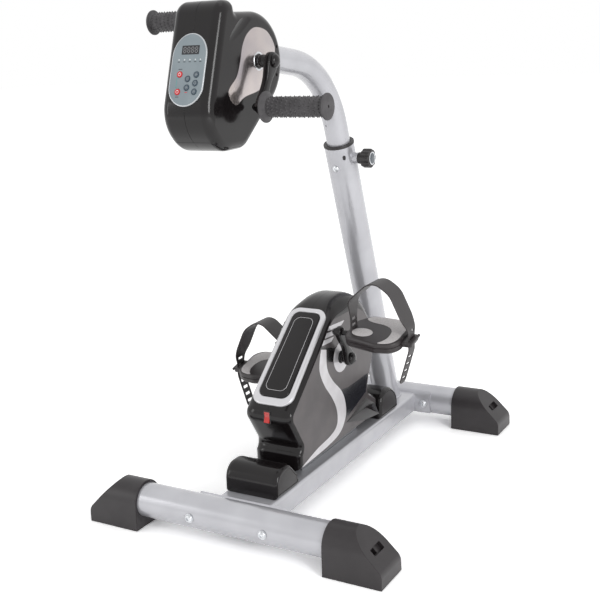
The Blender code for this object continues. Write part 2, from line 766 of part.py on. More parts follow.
def build_mounts(deck):
    """The covers in front of and behind the leg housing."""
    front = [
        (0.0, 0.0, MOUNT_FOOT_RADIUS),
        (FRONT_MOUNT_LENGTH, 0.0, MOUNT_FOOT_RADIUS),
        (
            FRONT_MOUNT_LENGTH - FRONT_MOUNT_WAIST,
            FRONT_MOUNT_HEIGHT - FRONT_MOUNT_WAIST_DROP,
            FRONT_MOUNT_WAIST_RADIUS,
        ),
        (FRONT_MOUNT_LENGTH - FRONT_MOUNT_TOP_END, FRONT_MOUNT_HEIGHT, FRONT_MOUNT_TOP_RADIUS),
        (MOUNT_LEAN, FRONT_MOUNT_HEIGHT, FRONT_MOUNT_BROW_RADIUS),
    ]
    build_mount(deck, "leg_front_mount", FRONT_MOUNT_Y, front)
    rear = [
        (0.0, 0.0, MOUNT_FOOT_RADIUS),
        (REAR_MOUNT_LENGTH, 0.0, MOUNT_FOOT_RADIUS),
        (
            REAR_MOUNT_LENGTH - REAR_MOUNT_WAIST,
            REAR_MOUNT_HEIGHT - REAR_MOUNT_WAIST_DROP,
            REAR_MOUNT_WAIST_RADIUS,
        ),
        (REAR_MOUNT_LENGTH - REAR_MOUNT_TOP_END, REAR_MOUNT_HEIGHT, REAR_MOUNT_TOP_RADIUS),
        (MOUNT_LEAN, REAR_MOUNT_HEIGHT, REAR_MOUNT_BROW_RADIUS),
    ]
    build_mount(deck, "leg_rear_mount", LEG_UNIT_Y + LEG_FOOT_LENGTH + FIT_GAP, rear)


# Post, mast and clamp

def build_post(stand, post):
    """The leaning post with its clamp boss, screw hole and slot."""
    foot = -POST_LENGTH - POST_RADIUS
    profile = [(foot, POST_RADIUS), (0.0, POST_RADIUS), (0.0, POST_INNER), (foot, POST_INNER)]
    tube = part("upright_post", turned(profile, FINE, at_z, closed=True), PAINT, post)
    low = BEAM_TOP + FIT_GAP
    reach = 3 * POST_RADIUS
    below = box((-reach, -reach, -reach), (reach, reach, 0.0))
    cut(tube, "post_foot", below, stand, (0, POST_FOOT_Y, low))
    boss = [(POST_INNER + POST_WALL / 2, BOSS_RADIUS), (POST_RADIUS + BOSS_LENGTH, BOSS_RADIUS)]
    join(tube, "boss", turned(boss, MEDIUM), post, (0, 0, -CLAMP_DROP))
    radius = PIN_RADIUS + FIT_GAP
    bore = turned([(MAST_RADIUS, radius), (POST_RADIUS + 2 * BOSS_LENGTH, radius)], COARSE)
    cut(tube, "boss_bore", bore, post, (0, 0, -CLAMP_DROP))
    radius = SCREW_RADIUS + FIT_GAP
    hole = turned([(-POST_RADIUS * 1.2, radius), (-MAST_RADIUS, radius)], COARSE, at_y)
    cut(tube, "post_screw_hole", hole, post, (0, 0, -SCREW_DROP))
    slot = outline(rectangle(SLOT_WIDTH / 2, SLOT_LENGTH / 2, SLOT_WIDTH / 2 - 0.0001))
    window = cut(tube, "post_slot", loft([
        at_y(slot, -POST_RADIUS * 1.2),
        at_y(slot, -POST_INNER + POST_WALL),
    ]), post, (0, 0, -SLOT_DROP))
    window.rotation_euler.z = SLOT_TURN


def build_bush(post):
    """The plastic bush in the post's mouth that the mast slides in."""
    outer = POST_INNER - FIT_GAP
    inner = MAST_RADIUS + FIT_GAP
    flange = POST_RADIUS + BUSH_FLANGE_MARGIN
    top = FIT_GAP + BUSH_FLANGE_HEIGHT
    profile = [
        (-BUSH_DEPTH, outer),
        (FIT_GAP, outer),
        (FIT_GAP, flange),
        (top - BUSH_EDGE, flange),
        (top, flange - BUSH_EDGE),
        (top, inner),
        (-BUSH_DEPTH, inner),
    ]
    bush = part("post_bush", turned(profile, FINE, at_z, closed=True), MATT_BLACK, post)
    radius = PIN_RADIUS + FIT_GAP
    bore = turned([(0.0, radius), (POST_RADIUS, radius)], COARSE)
    cut(bush, "bush_bore", bore, post, (0, 0, -CLAMP_DROP))
    radius = SCREW_RADIUS + FIT_GAP
    hole = turned([(-POST_RADIUS, radius), (0.0, radius)], COARSE, at_y)
    cut(bush, "bush_screw_hole", hole, post, (0, 0, -SCREW_DROP))


def build_clamp(post):
    """The clamp pin with its knob, and the screw that holds the bush."""
    tip = MAST_RADIUS + FIT_GAP
    axis = (0, 0, -CLAMP_DROP)
    part("lock_pin", turned([(tip, PIN_RADIUS), (tip + PIN_LENGTH, PIN_RADIUS)], COARSE), ZINC, post, axis)
    count = 4 * KNOB_LOBES
    seat = POST_RADIUS + BOSS_LENGTH + FIT_GAP
    shoulder = seat + KNOB_NECK_LENGTH
    end = shoulder + KNOB_LENGTH
    bore = PIN_RADIUS + FIT_GAP

    def lobed(shrink):
        points = []
        for i in range(count):
            turn = 2 * math.pi * i / count
            radius = KNOB_RADIUS + KNOB_LOBE * math.cos(KNOB_LOBES * turn) - shrink
            points.append((radius * math.cos(turn), radius * math.sin(turn)))
        return points

    rings = [
        at_x(circle(bore, count), tip + PIN_LENGTH + FIT_GAP),
        at_x(circle(bore, count), seat),
        at_x(circle(KNOB_NECK_RADIUS, count), seat),
        at_x(circle(KNOB_NECK_RADIUS, count), shoulder),
        at_x(lobed(KNOB_EDGE), shoulder),
        at_x(lobed(0.0), shoulder + KNOB_EDGE),
        at_x(lobed(0.0), end - KNOB_END_EDGE),
        at_x(lobed(KNOB_END_EDGE), end),
    ]
    part("lock_knob", loft(rings), MATT_BLACK, post, axis)
    seat = POST_RADIUS + FIT_GAP
    screw = [(-MAST_RADIUS - POST_WALL, SCREW_RADIUS), (-seat, SCREW_RADIUS), (-seat, SCREW_HEAD_RADIUS)]
    screw += [(-along, radius) for along, radius in dome(seat, SCREW_HEAD_HEIGHT, SCREW_HEAD_RADIUS)]
    part("post_screw", turned(screw, COARSE, at_y), ZINC, post, (0, 0, -SCREW_DROP))


def mast_path():
    """Stations along the mast in the post's frame: place along the bend and heading."""
    stations = [(0.0, -MAST_INSERT, 0.0)]
    steps = 10
    for i in range(steps + 1):
        turn = MAST_BEND * i / steps
        y = -MAST_BEND_RADIUS * (1 - math.cos(turn))
        z = MAST_RISE + MAST_BEND_RADIUS * math.sin(turn)
        stations.append((y, z, turn))
    y, z, turn = stations[-1]
    stations.append((y - MAST_NECK * math.sin(turn), z + MAST_NECK * math.cos(turn), turn))
    return stations


def build_mast(post):
    """The bent tube that carries the arm unit and slides in the post."""
    def ring(station, radius):
        y, z, turn = station
        spin = Matrix.Rotation(turn, 4, "X")
        return [spin @ point + Vector((0, y, z)) for point in at_z(circle(radius, MEDIUM), 0.0)]

    stations = mast_path()
    rings = [ring(station, MAST_RADIUS) for station in stations]
    rings += [ring(station, MAST_RADIUS - MAST_WALL) for station in reversed(stations)]
    part("mast_tube", loft(rings, closed=True), PAINT, post)


# Belt drives

def build_drive(frame, prefix, axle, motor, axle_radius, pulley_radius, motor_radius, motor_length):
    """Pulley, belt, motor and motor pulley beside a chassis plate, in a unit's frame."""
    bore = axle_radius + FIT_GAP
    wheel = [(PULLEY_IN, pulley_radius), (PULLEY_OUT, pulley_radius), (PULLEY_OUT, bore), (PULLEY_IN, bore)]
    part(prefix + "_pulley", turned(wheel, FINE, closed=True), MATT_BLACK, frame, (0, *axle))
    shaft_end = PLATE_HALF + MOTOR_SHAFT_DEPTH
    drive = [
        (PULLEY_IN, MOTOR_PULLEY_RADIUS),
        (PULLEY_OUT, MOTOR_PULLEY_RADIUS),
        (PULLEY_OUT, MOTOR_SHAFT_RADIUS),
        (shaft_end, MOTOR_SHAFT_RADIUS),
    ]
    part(prefix + "_motor_pulley", turned(drive, MEDIUM), STEEL, frame, (0, *motor))
    bore = MOTOR_SHAFT_RADIUS + FIT_GAP
    face = PLATE_HALF + FIT_GAP
    body = [
        (shaft_end + FIT_GAP, bore),
        (face, bore),
        (face, motor_radius),
        (face + motor_length - MOTOR_EDGE, motor_radius),
        (face + motor_length, motor_radius - MOTOR_EDGE),
    ]
    part(prefix + "_motor", turned(body, MEDIUM), STEEL, frame, (0, *motor))
    span = Vector(motor) - Vector(axle)
    heading = math.atan2(span.y, span.x)
    spread = math.acos((pulley_radius - MOTOR_PULLEY_RADIUS) / span.length)

    def wrap(margin):
        points = []
        for i in range(FINE + 1):
            turn = heading + spread + (2 * math.pi - 2 * spread) * i / FINE
            radius = pulley_radius + margin
            points.append((axle[0] + radius * math.cos(turn), axle[1] + radius * math.sin(turn)))
        for i in range(COARSE + 1):
            turn = heading - spread + 2 * spread * i / COARSE
            radius = MOTOR_PULLEY_RADIUS + margin
            points.append((motor[0] + radius * math.cos(turn), motor[1] + radius * math.sin(turn)))
        return points

    start = PULLEY_IN + BELT_MARGIN
    end = PULLEY_OUT - BELT_MARGIN
    inner = wrap(RUN_GAP)
    outer = wrap(RUN_GAP + BELT_THICKNESS)
    rings = [at_x(outer, start), at_x(outer, end), at_x(inner, end), at_x(inner, start)]
    part(prefix + "_belt", loft(rings, closed=True), RUBBER, frame)


def drill_plate(plate, frame, prefix, axle, motor, axle_radius, bearing):
    """Adds the axle's bearing to a chassis plate, and bores it for axle and motor shaft."""
    length, radius = bearing
    join(plate, prefix + "_bearing", turned([(0.0, radius), (length, radius)], MEDIUM), frame, (0, *axle))
    reach = 1.2 * length
    bore = axle_radius + FIT_GAP
    cut(plate, prefix + "_axle", turned([(-reach, bore), (reach, bore)], MEDIUM), frame, (0, *axle))
    bore = MOTOR_SHAFT_RADIUS + 2 * FIT_GAP
    cut(plate, prefix + "_shaft", turned([(-reach, bore), (reach, bore)], COARSE), frame, (0, *motor))


def crank_arm(length, start, out):
    """The flat arm of a crank, wide at the hub and chamfered along its edges."""
    arm = []
    for radius, height, first in ((CRANK_HUB_RADIUS, 0.0, math.pi), (CRANK_END_RADIUS, length, 0.0)):
        for i in range(7):
            angle = first + math.pi * i / 6
            arm.append((radius * math.cos(angle), height + radius * math.sin(angle)))
    centre = Vector((0.0, length / 2))
    tight = []
    for point in arm:
        inward = (centre - Vector(point)).normalized() * CRANK_EDGE
        tight.append((point[0] + inward.x, point[1] + inward.y))
    return [(start, tight), (start + CRANK_EDGE, arm), (out - CRANK_EDGE, arm), (out, tight)]


def build_crank(frame, name, side, axle, turn, sizes):
    """A crank with hub, ball nut and spindle, on the end of an axle."""
    length, start, out, neck, spindle_radius, spindle_end, axle_radius = sizes
    rings = [at_x(points, side * x) for x, points in crank_arm(length, start, out)]
    crank = part(name, loft(rings), GLOSS_BLACK, frame, (0, *axle), turn)
    middle = (start + out) / 2
    hub = [(start - neck, CRANK_NECK_RADIUS), (middle, CRANK_NECK_RADIUS), (middle, CRANK_CAP_RADIUS)]
    hub += [(out + CRANK_CAP_BASE, CRANK_CAP_RADIUS)]
    hub += dome(out + CRANK_CAP_BASE, CRANK_CAP_HEIGHT, CRANK_CAP_RADIUS)
    join(crank, name + "_hub", turned([(side * x, r) for x, r in hub], MEDIUM), frame, (0, *axle), turn)
    pin = [(start - x, r) for x, r in reversed(dome(0.0, BALL_NUT_LENGTH, BALL_NUT_RADIUS))]
    pin += [(middle, BALL_NUT_RADIUS), (middle, spindle_radius), (spindle_end, spindle_radius)]
    spindle = join(crank, name + "_spindle", turned([(side * x, r) for x, r in pin], MEDIUM), crank)
    spindle.location.z = length
    bore = axle_radius + FIT_GAP
    hole = turned([(side * (start - 2 * neck), bore), (side * (out + CRANK_CAP_BASE / 2), bore)], MEDIUM)
    cut(crank, name + "_bore", hole, frame, (0, *axle), turn)


# Leg unit

def leg_corners():
    """Side view of the leg housing, from its foot's front end round the rear."""
    return [
        (0.0, LEG_LIFT, LEG_FOOT_RADIUS),
        (LEG_FOOT_LENGTH, LEG_LIFT, LEG_FOOT_RADIUS),
        (LEG_FOOT_LENGTH, LEG_REAR_STEP, LEG_STEP_RADIUS),
        (LEG_HOLLOW_Y, LEG_HOLLOW_Z, LEG_HOLLOW_RADIUS),
        (LEG_HEEL_Y, LEG_HEEL_Z, LEG_HEEL_RADIUS),
        (LEG_BACK_Y, LEG_HEIGHT, LEG_BACK_RADIUS),
        (LEG_BROW_Y, LEG_HEIGHT, LEG_BROW_RADIUS),
        (LEG_NOSE_Y, LEG_NOSE_Z, LEG_NOSE_RADIUS),
        (LEG_THROAT_Y, LEG_THROAT_Z, LEG_THROAT_RADIUS),
        (-FIT_GAP, LEG_FRONT_STEP, LEG_THROAT_RADIUS),
    ]


def build_leg_housing(leg):
    """Two hollow halves with openings for chassis, axle, switch and inlet."""
    corners = leg_corners()
    halves = []
    for word, side in (("right", 1), ("left", -1)):
        shell = half_shell(corners, side, LEG_HALF_WIDTH, LEG_EDGE, LEG_WALL)
        half = part("leg_housing_" + word, shell, GLOSS_BLACK, leg)
        bore = LEG_AXLE_RADIUS + RUN_GAP
        span = [(side * LEG_HALF_WIDTH * 0.8, bore), (side * LEG_HALF_WIDTH * 1.2, bore)]
        cut(half, "leg_axle_hole", turned(span, MEDIUM), leg, (0, LEG_AXLE_Y, LEG_AXLE_Z))
        halves.append(half)
    half_width = LEG_CHASSIS_HALF_WIDTH + FIT_GAP
    low = (-half_width, LEG_CHASSIS_FRONT - FIT_GAP, 0.0)
    high = (half_width, LEG_CHASSIS_FRONT + LEG_CHASSIS_LENGTH + FIT_GAP, LEG_LIFT + 2 * LEG_WALL)
    for half in halves:
        cut(half, "leg_floor", box(low, high), leg)
    return halves


def nose_front(corners):
    """Front point of the rounded nose."""
    here = Vector(corners[7][:2])
    back = (Vector(corners[6][:2]) - here).normalized()
    ahead = (Vector(corners[8][:2]) - here).normalized()
    half = back.angle(ahead) / 2
    centre = here + (back + ahead).normalized() * LEG_NOSE_RADIUS / math.sin(half)
    return Vector((centre.x - LEG_NOSE_RADIUS, centre.y))


def build_switch(leg, halves):
    """The rocker switch on the nose."""
    front = nose_front(leg_corners())
    pivot = empty("switch_pivot", (0, front.x + SWITCH_DEPTH, front.y), 0.0, leg)
    reach = SWITCH_DEPTH + SWITCH_PROUD
    corner = Vector((reach, SWITCH_HALF_HEIGHT))
    swing = math.atan2(corner.y, corner.x) + SWITCH_TILT
    half_height = corner.length * math.sin(swing) + FIT_GAP
    half_width = SWITCH_HALF_WIDTH + FIT_GAP
    low = (-half_width, -LEG_NOSE_RADIUS, -half_height)
    for half in halves:
        cut(half, "switch_hole", box(low, (half_width, SWITCH_HOLE_BACK, half_height)), pivot)
    rocker = [
        (-reach, SWITCH_HALF_HEIGHT),
        (-reach + SWITCH_DISH, 0.0),
        (-reach, -SWITCH_HALF_HEIGHT),
        (0.0, -SWITCH_BACK_HALF),
        (SWITCH_BACK, 0.0),
        (0.0, SWITCH_BACK_HALF),
    ]
    solid = loft([at_x(rocker, -SWITCH_HALF_WIDTH), at_x(rocker, SWITCH_HALF_WIDTH)])
    part("power_switch", solid, BUTTON_RED, pivot, turn=-SWITCH_TILT)


def build_inlet(leg, half):
    """The mains inlet in the back wall."""
    corners = leg_corners()
    frame = face_frame("inlet_frame", leg, corners[4], corners[5], INLET_RISE, INLET_X)
    body = rectangle(INLET_HALF_WIDTH, INLET_HALF_HEIGHT, 0.003)
    face = FIT_GAP + INLET_FLANGE_THICKNESS
    rings = [
        at_z(outline(body, INLET_WALL), face - INLET_DEPTH + INLET_WALL),
        at_z(outline(body, INLET_WALL), face),
        at_z(outline(body, -INLET_FLANGE), face),
        at_z(outline(body, -INLET_FLANGE), FIT_GAP),
        at_z(outline(body), FIT_GAP),
        at_z(outline(body), face - INLET_DEPTH),
    ]
    part("power_inlet", loft(rings), MATT_BLACK, frame)
    hole = outline(body, -FIT_GAP)
    cut(half, "inlet_hole", loft([at_z(hole, -2 * LEG_WALL), at_z(hole, LEG_WALL)]), frame)


def build_leg_trim(leg):
    """The silver frame and the black plate on the slope."""
    corners = leg_corners()
    nose = Vector(corners[7][:2])
    slope = Vector(corners[6][:2]) - nose
    back = (Vector(corners[8][:2]) - nose).normalized()
    half = back.angle(slope.normalized()) / 2
    start = nose + slope.normalized() * LEG_NOSE_RADIUS / math.tan(half)
    frame = empty("slope_frame", (0, start.x, start.y), math.atan2(slope.y, slope.x), leg)
    end = TRIM_START + TRIM_LENGTH
    trim = [
        (-TRIM_BOTTOM_HALF, TRIM_START, TRIM_CORNER),
        (TRIM_BOTTOM_HALF, TRIM_START, TRIM_CORNER),
        (TRIM_TOP_HALF, end, TRIM_CORNER),
        (-TRIM_TOP_HALF, end, TRIM_CORNER),
    ]
    top = FIT_GAP + TRIM_THICKNESS
    rings = [
        at_z(outline(trim), FIT_GAP),
        at_z(outline(trim), top - TRIM_CHAMFER),
        at_z(outline(trim, TRIM_CHAMFER), top),
        at_z(outline(trim, TRIM_BAR), top),
        at_z(outline(trim, TRIM_BAR), FIT_GAP),
    ]
    part("leg_trim_frame", loft(rings, closed=True), SILVER, frame)
    seat = TRIM_BAR + FIT_GAP
    top = FIT_GAP + PLATE_THICKNESS
    rings = [
        at_z(outline(trim, seat), FIT_GAP),
        at_z(outline(trim, seat), top - PLATE_CHAMFER),
        at_z(outline(trim, seat + PLATE_CHAMFER), top),
    ]
    part("leg_top_plate", loft(rings), GLOSS_BLACK, frame)


def build_leg_chassis(leg):
    """The steel pedestal and plate that carry axle, motor and housing."""
    end = LEG_CHASSIS_FRONT + LEG_CHASSIS_LENGTH
    low = (-LEG_CHASSIS_HALF_WIDTH, LEG_CHASSIS_FRONT, FIT_GAP)
    high = (LEG_CHASSIS_HALF_WIDTH, end, LEG_LIFT + LEG_CHASSIS_STEP)
    chassis = part("leg_chassis", box(low, high), STEEL, leg)
    foot = LEG_LIFT + LEG_CHASSIS_STEP / 2
    head = LEG_CHASSIS_HEAD
    plate = [
        (LEG_CHASSIS_FRONT + LEG_CHASSIS_MARGIN, foot, CHASSIS_FOOT_CORNER),
        (end - LEG_CHASSIS_MARGIN, foot, CHASSIS_FOOT_CORNER),
        (LEG_AXLE_Y + head, LEG_AXLE_Z + head, LEG_CHASSIS_CORNER),
        (LEG_AXLE_Y - head, LEG_AXLE_Z + head, LEG_CHASSIS_CORNER),
        (LEG_MOTOR_Y - LEG_MOTOR_RADIUS, LEG_MOTOR_Z + LEG_CHASSIS_BROW, LEG_CHASSIS_CORNER),
    ]
    solid = loft([at_x(outline(plate), -PLATE_HALF), at_x(outline(plate), PLATE_HALF)])
    join(chassis, "leg_plate", solid, leg)
    bearing = (LEG_BEARING_LENGTH, LEG_BEARING_RADIUS)
    axle = (LEG_AXLE_Y, LEG_AXLE_Z)
    motor = (LEG_MOTOR_Y, LEG_MOTOR_Z)
    drill_plate(chassis, leg, "leg", axle, motor, LEG_AXLE_RADIUS, bearing)


def build_leg_cranks(leg):
    """Axle, cranks, pedals and straps of the leg unit."""
    start = LEG_HALF_WIDTH + CRANK_RUN + LEG_CRANK_NECK
    out = start + LEG_CRANK_THICKNESS
    end = out + CRANK_CAP_BASE / 2 - FIT_GAP
    axle = (LEG_AXLE_Y, LEG_AXLE_Z)
    rod = [(-end, LEG_AXLE_RADIUS), (end, LEG_AXLE_RADIUS)]
    part("leg_axle", turned(rod, MEDIUM), STEEL, leg, (0, *axle))
    pedal_in = out + PEDAL_GAP
    spindle_end = pedal_in + PEDAL_LENGTH - PEDAL_SPINDLE_END
    sizes = (LEG_CRANK_LENGTH, start, out, LEG_CRANK_NECK, LEG_SPINDLE_RADIUS, spindle_end, LEG_AXLE_RADIUS)
    for word, side in (("right", 1), ("left", -1)):
        turn = LEG_CRANK_TURN if side > 0 else LEG_CRANK_TURN + math.pi
        build_crank(leg, "leg_crank_" + word, side, axle, turn, sizes)
        y = LEG_AXLE_Y - LEG_CRANK_LENGTH * math.sin(turn)
        z = LEG_AXLE_Z + LEG_CRANK_LENGTH * math.cos(turn)
        pivot = empty("pedal_pivot_" + word, (0, y, z), 0.0, leg)
        build_pedal(pivot, word, side, pedal_in, spindle_end)


def strap_path(pedal_in):
    """The strap's line from its seat in the pedal over the foot and down past the outer end."""
    inner = pedal_in + STRAP_INSET
    outer = pedal_in + PEDAL_LENGTH + STRAP_OUTSET
    seat = PEDAL_TOP - STRAP_SEAT
    return rounded_path([
        (inner, seat),
        (inner, STRAP_KNEE, STRAP_KNEE_RADIUS),
        (pedal_in + STRAP_PEAK_X, STRAP_PEAK_Z, STRAP_PEAK_RADIUS),
        (pedal_in + STRAP_SHOULDER_X, STRAP_SHOULDER_Z, STRAP_SHOULDER_RADIUS),
        (outer, STRAP_OUTER_Z, STRAP_OUTER_RADIUS),
        (outer, STRAP_TAIL_TOP, STRAP_TAIL_RADIUS),
        (outer - STRAP_TAIL_SWING, STRAP_TAIL_END_Z),
    ])


def build_pedal(pivot, word, side, pedal_in, spindle_end):
    """A pedal with its strap lug, and the strap over it."""
    outer = pedal_in + PEDAL_LENGTH
    plan = [
        (pedal_in, -PEDAL_INNER_FRONT, PEDAL_SMALL_RADIUS),
        (pedal_in + PEDAL_TOE_X, -PEDAL_FRONT, PEDAL_LARGE_RADIUS),
        (outer, -PEDAL_OUTER_FRONT, PEDAL_LARGE_RADIUS),
        (outer, PEDAL_OUTER_REAR, PEDAL_LARGE_RADIUS),
        (pedal_in + PEDAL_HEEL_X, PEDAL_REAR, PEDAL_HEEL_RADIUS),
        (pedal_in, PEDAL_INNER_REAR, PEDAL_SMALL_RADIUS),
    ]
    low = PEDAL_TOP - PEDAL_THICKNESS
    rings = [
        at_z(outline(plan, PEDAL_EDGE), low),
        at_z(outline(plan), low + PEDAL_EDGE),
        at_z(outline(plan), PEDAL_TOP - PEDAL_EDGE / 2),
        at_z(outline(plan, PEDAL_EDGE / 2), PEDAL_TOP),
    ]
    name = "pedal_" + word
    pedal = part(name, loft(mirrored(rings, side)), MATT_BLACK, pivot, turn=PEDAL_TILT)
    lug = [
        (outer - 2 * LUG_CORNER, STRAP_Y - LUG_HALF_WIDTH, LUG_CORNER / 2),
        (outer + LUG_LENGTH, STRAP_Y - LUG_HALF_WIDTH, LUG_CORNER),
        (outer + LUG_LENGTH, STRAP_Y + LUG_HALF_WIDTH, LUG_CORNER),
        (outer - 2 * LUG_CORNER, STRAP_Y + LUG_HALF_WIDTH, LUG_CORNER / 2),
    ]
    rings = [at_z(outline(lug), LUG_BOTTOM), at_z(outline(lug), LUG_TOP)]
    join(pedal, name + "_lug", loft(mirrored(rings, side)), pivot, turn=PEDAL_TILT)
    bore = LEG_SPINDLE_RADIUS + FIT_GAP
    hole = [(side * (pedal_in - PEDAL_EDGE), bore), (side * (spindle_end + FIT_GAP), bore)]
    cut(pedal, name + "_bore", turned(hole, MEDIUM), pivot)
    half = STRAP_THICKNESS / 2 + FIT_GAP
    wide = STRAP_WIDTH / 2 + FIT_GAP
    inner_leg = pedal_in + STRAP_INSET
    outer_leg = outer + STRAP_OUTSET
    slots = (("seat", inner_leg, PEDAL_TOP - STRAP_SEAT - FIT_GAP), ("slot", outer_leg, STRAP_TAIL_TOP))
    for label, x, floor in slots:
        ends = sorted((side * (x - half), side * (x + half)))
        low = (ends[0], STRAP_Y - wide, floor)
        high = (ends[1], STRAP_Y + wide, PEDAL_TOP + PEDAL_THICKNESS)
        cut(pedal, name + "_" + label, box(low, high), pivot)
    path = [(side * x, z) for x, z in strap_path(pedal_in)]
    solid = band(path, STRAP_WIDTH / 2, STRAP_THICKNESS, STRAP_Y)
    strap = part("pedal_strap_" + word, solid, RUBBER, pivot)
    reach = STRAP_OUTER_Z + STRAP_SLOT_STEP
    places = [(inner_leg, reach), (outer_leg, STRAP_TAIL_TOP / 2 + STRAP_SLOT_STEP)]
    for x, z in places:
        low = (side * x - STRAP_SLOT_WIDTH, STRAP_Y - STRAP_SLOT_WIDTH / 2, z - STRAP_SLOT_HEIGHT / 2)
        high = (side * x + STRAP_SLOT_WIDTH, STRAP_Y + STRAP_SLOT_WIDTH / 2, z + STRAP_SLOT_HEIGHT / 2)
        cut(strap, "strap_slot_" + word, box(low, high), pivot)


def mirrored(rings, side):
    """Mirrors rings of points to the other side of X where the side is negative."""
    return [[Vector((side * point.x, point.y, point.z)) for point in ring] for ring in rings]


def build_leg_unit(leg):
    """Everything of the leg unit."""
    halves = build_leg_housing(leg)
    build_switch(leg, halves)
    build_inlet(leg, halves[0])
    build_leg_trim(leg)
    build_leg_chassis(leg)
    axle = (LEG_AXLE_Y, LEG_AXLE_Z)
    motor = (LEG_MOTOR_Y, LEG_MOTOR_Z)
    build_drive(leg, "leg", axle, motor, LEG_AXLE_RADIUS, LEG_PULLEY_RADIUS,
                LEG_MOTOR_RADIUS, LEG_MOTOR_LENGTH)
    build_leg_cranks(leg)


# Arm unit

def arm_corners():
    """Side view of the arm housing about its axle."""
    radius = ARM_BODY_RADIUS
    return [
        (-ARM_CHIN_FRONT, -ARM_CHIN_DROP, ARM_CHIN_RADIUS),
        (-ARM_CHIN_BACK, -ARM_CHIN_DROP, ARM_CHIN_RADIUS),
        (radius, -ARM_LOWER_Z, radius - 0.0001),
        (radius, radius, radius - 0.0001),
        (-ARM_CREST_FOOT, radius, ARM_CORNER),
        (-ARM_CREST_BACK, ARM_CREST_Z, ARM_CORNER),
        (-ARM_CREST_Y, ARM_CREST_Z, ARM_CREST_RADIUS),
        (-ARM_CHEEK_Y, -ARM_CHEEK_Z, ARM_CHEEK_RADIUS),
    ]


def console_points(inset):
    """Outline of the console panel: straight sides with elliptical ends."""
    half = CONSOLE_HALF_WIDTH - inset
    points = []
    steps = 12
    for middle, reach, first in (
        (CONSOLE_UPPER, CONSOLE_LENGTH - CONSOLE_UPPER - inset, 0.0),
        (CONSOLE_LOWER, CONSOLE_LOWER - inset, math.pi),
    ):
        for i in range(steps + 1):
            turn = first + math.pi * i / steps
            points.append((half * math.cos(turn), middle + reach * math.sin(turn)))
    return points


def build_arm_housing(arm, neck):
    """Two hollow halves with openings for mast, axle and console."""
    corners = arm_corners()
    front = Vector(corners[7][:2])
    up = Vector(corners[6][:2]) - front
    start = front + up.normalized() * CONSOLE_START
    console = empty("console_frame", (0, start.x, start.y), math.atan2(up.y, up.x), arm)
    opening = console_points(CONSOLE_SEAT)
    for word, side in (("right", 1), ("left", -1)):
        shell = half_shell(corners, side, ARM_HALF_WIDTH, ARM_EDGE, ARM_WALL)
        half = part("arm_housing_" + word, shell, GLOSS_BLACK, arm)
        bore = ARM_AXLE_RADIUS + RUN_GAP
        span = [(side * ARM_HALF_WIDTH * 0.8, bore), (side * ARM_HALF_WIDTH * 1.2, bore)]
        cut(half, "arm_axle_hole", turned(span, MEDIUM), arm)
        cutter = loft([at_z(opening, -2 * ARM_WALL), at_z(opening, 2 * ARM_WALL)])
        cut(half, "console_hole", cutter, console)
        radius = MAST_RADIUS + FIT_GAP
        cut(half, "mast_hole", turned([(-MAST_NECK / 2, radius), (0.0, radius)], FINE, at_z), neck)
    return console


def build_arm_chassis(arm, neck):
    """The plate and plug welded to the mast's end, which carry axle, motor and housing."""
    radius = MAST_RADIUS - MAST_WALL - FIT_GAP
    plug = [
        (-PLUG_LENGTH, radius),
        (FIT_GAP, radius),
        (FIT_GAP, MAST_RADIUS),
        (PLUG_FLANGE, MAST_RADIUS),
    ]
    chassis = part("arm_chassis", turned(plug, MEDIUM, at_z), STEEL, neck)
    tip = Matrix.Translation(neck.location) @ Matrix.Rotation(neck.rotation_euler.x, 4, "X")
    root = tip @ Vector((0, 0, PLUG_FLANGE / 2))
    head = ARM_CHASSIS_HEAD
    low = ARM_CHASSIS_CHEST
    motor_half = ARM_CHASSIS_MOTOR_HALF
    corner = ARM_CHASSIS_CORNER
    plate = [
        (ARM_MOTOR_Y - motor_half, ARM_MOTOR_Z - ARM_CHASSIS_MOTOR_DROP, corner),
        (ARM_MOTOR_Y + motor_half, ARM_MOTOR_Z - ARM_CHASSIS_MOTOR_DROP, corner),
        (low, -low, corner),
        (root.y, root.z - ARM_CHASSIS_ROOT_HALF, CHASSIS_FOOT_CORNER),
        (root.y, root.z + ARM_CHASSIS_ROOT_HALF, CHASSIS_FOOT_CORNER),
        (-head, head, corner),
        (ARM_MOTOR_Y - motor_half, ARM_MOTOR_Z + ARM_CHASSIS_MOTOR_RISE, corner),
    ]
    solid = loft([at_x(outline(plate), -PLATE_HALF), at_x(outline(plate), PLATE_HALF)])
    join(chassis, "arm_plate", solid, arm)
    bearing = (ARM_BEARING_LENGTH, ARM_BEARING_RADIUS)
    motor = (ARM_MOTOR_Y, ARM_MOTOR_Z)
    drill_plate(chassis, arm, "arm", (0.0, 0.0), motor, ARM_AXLE_RADIUS, bearing)


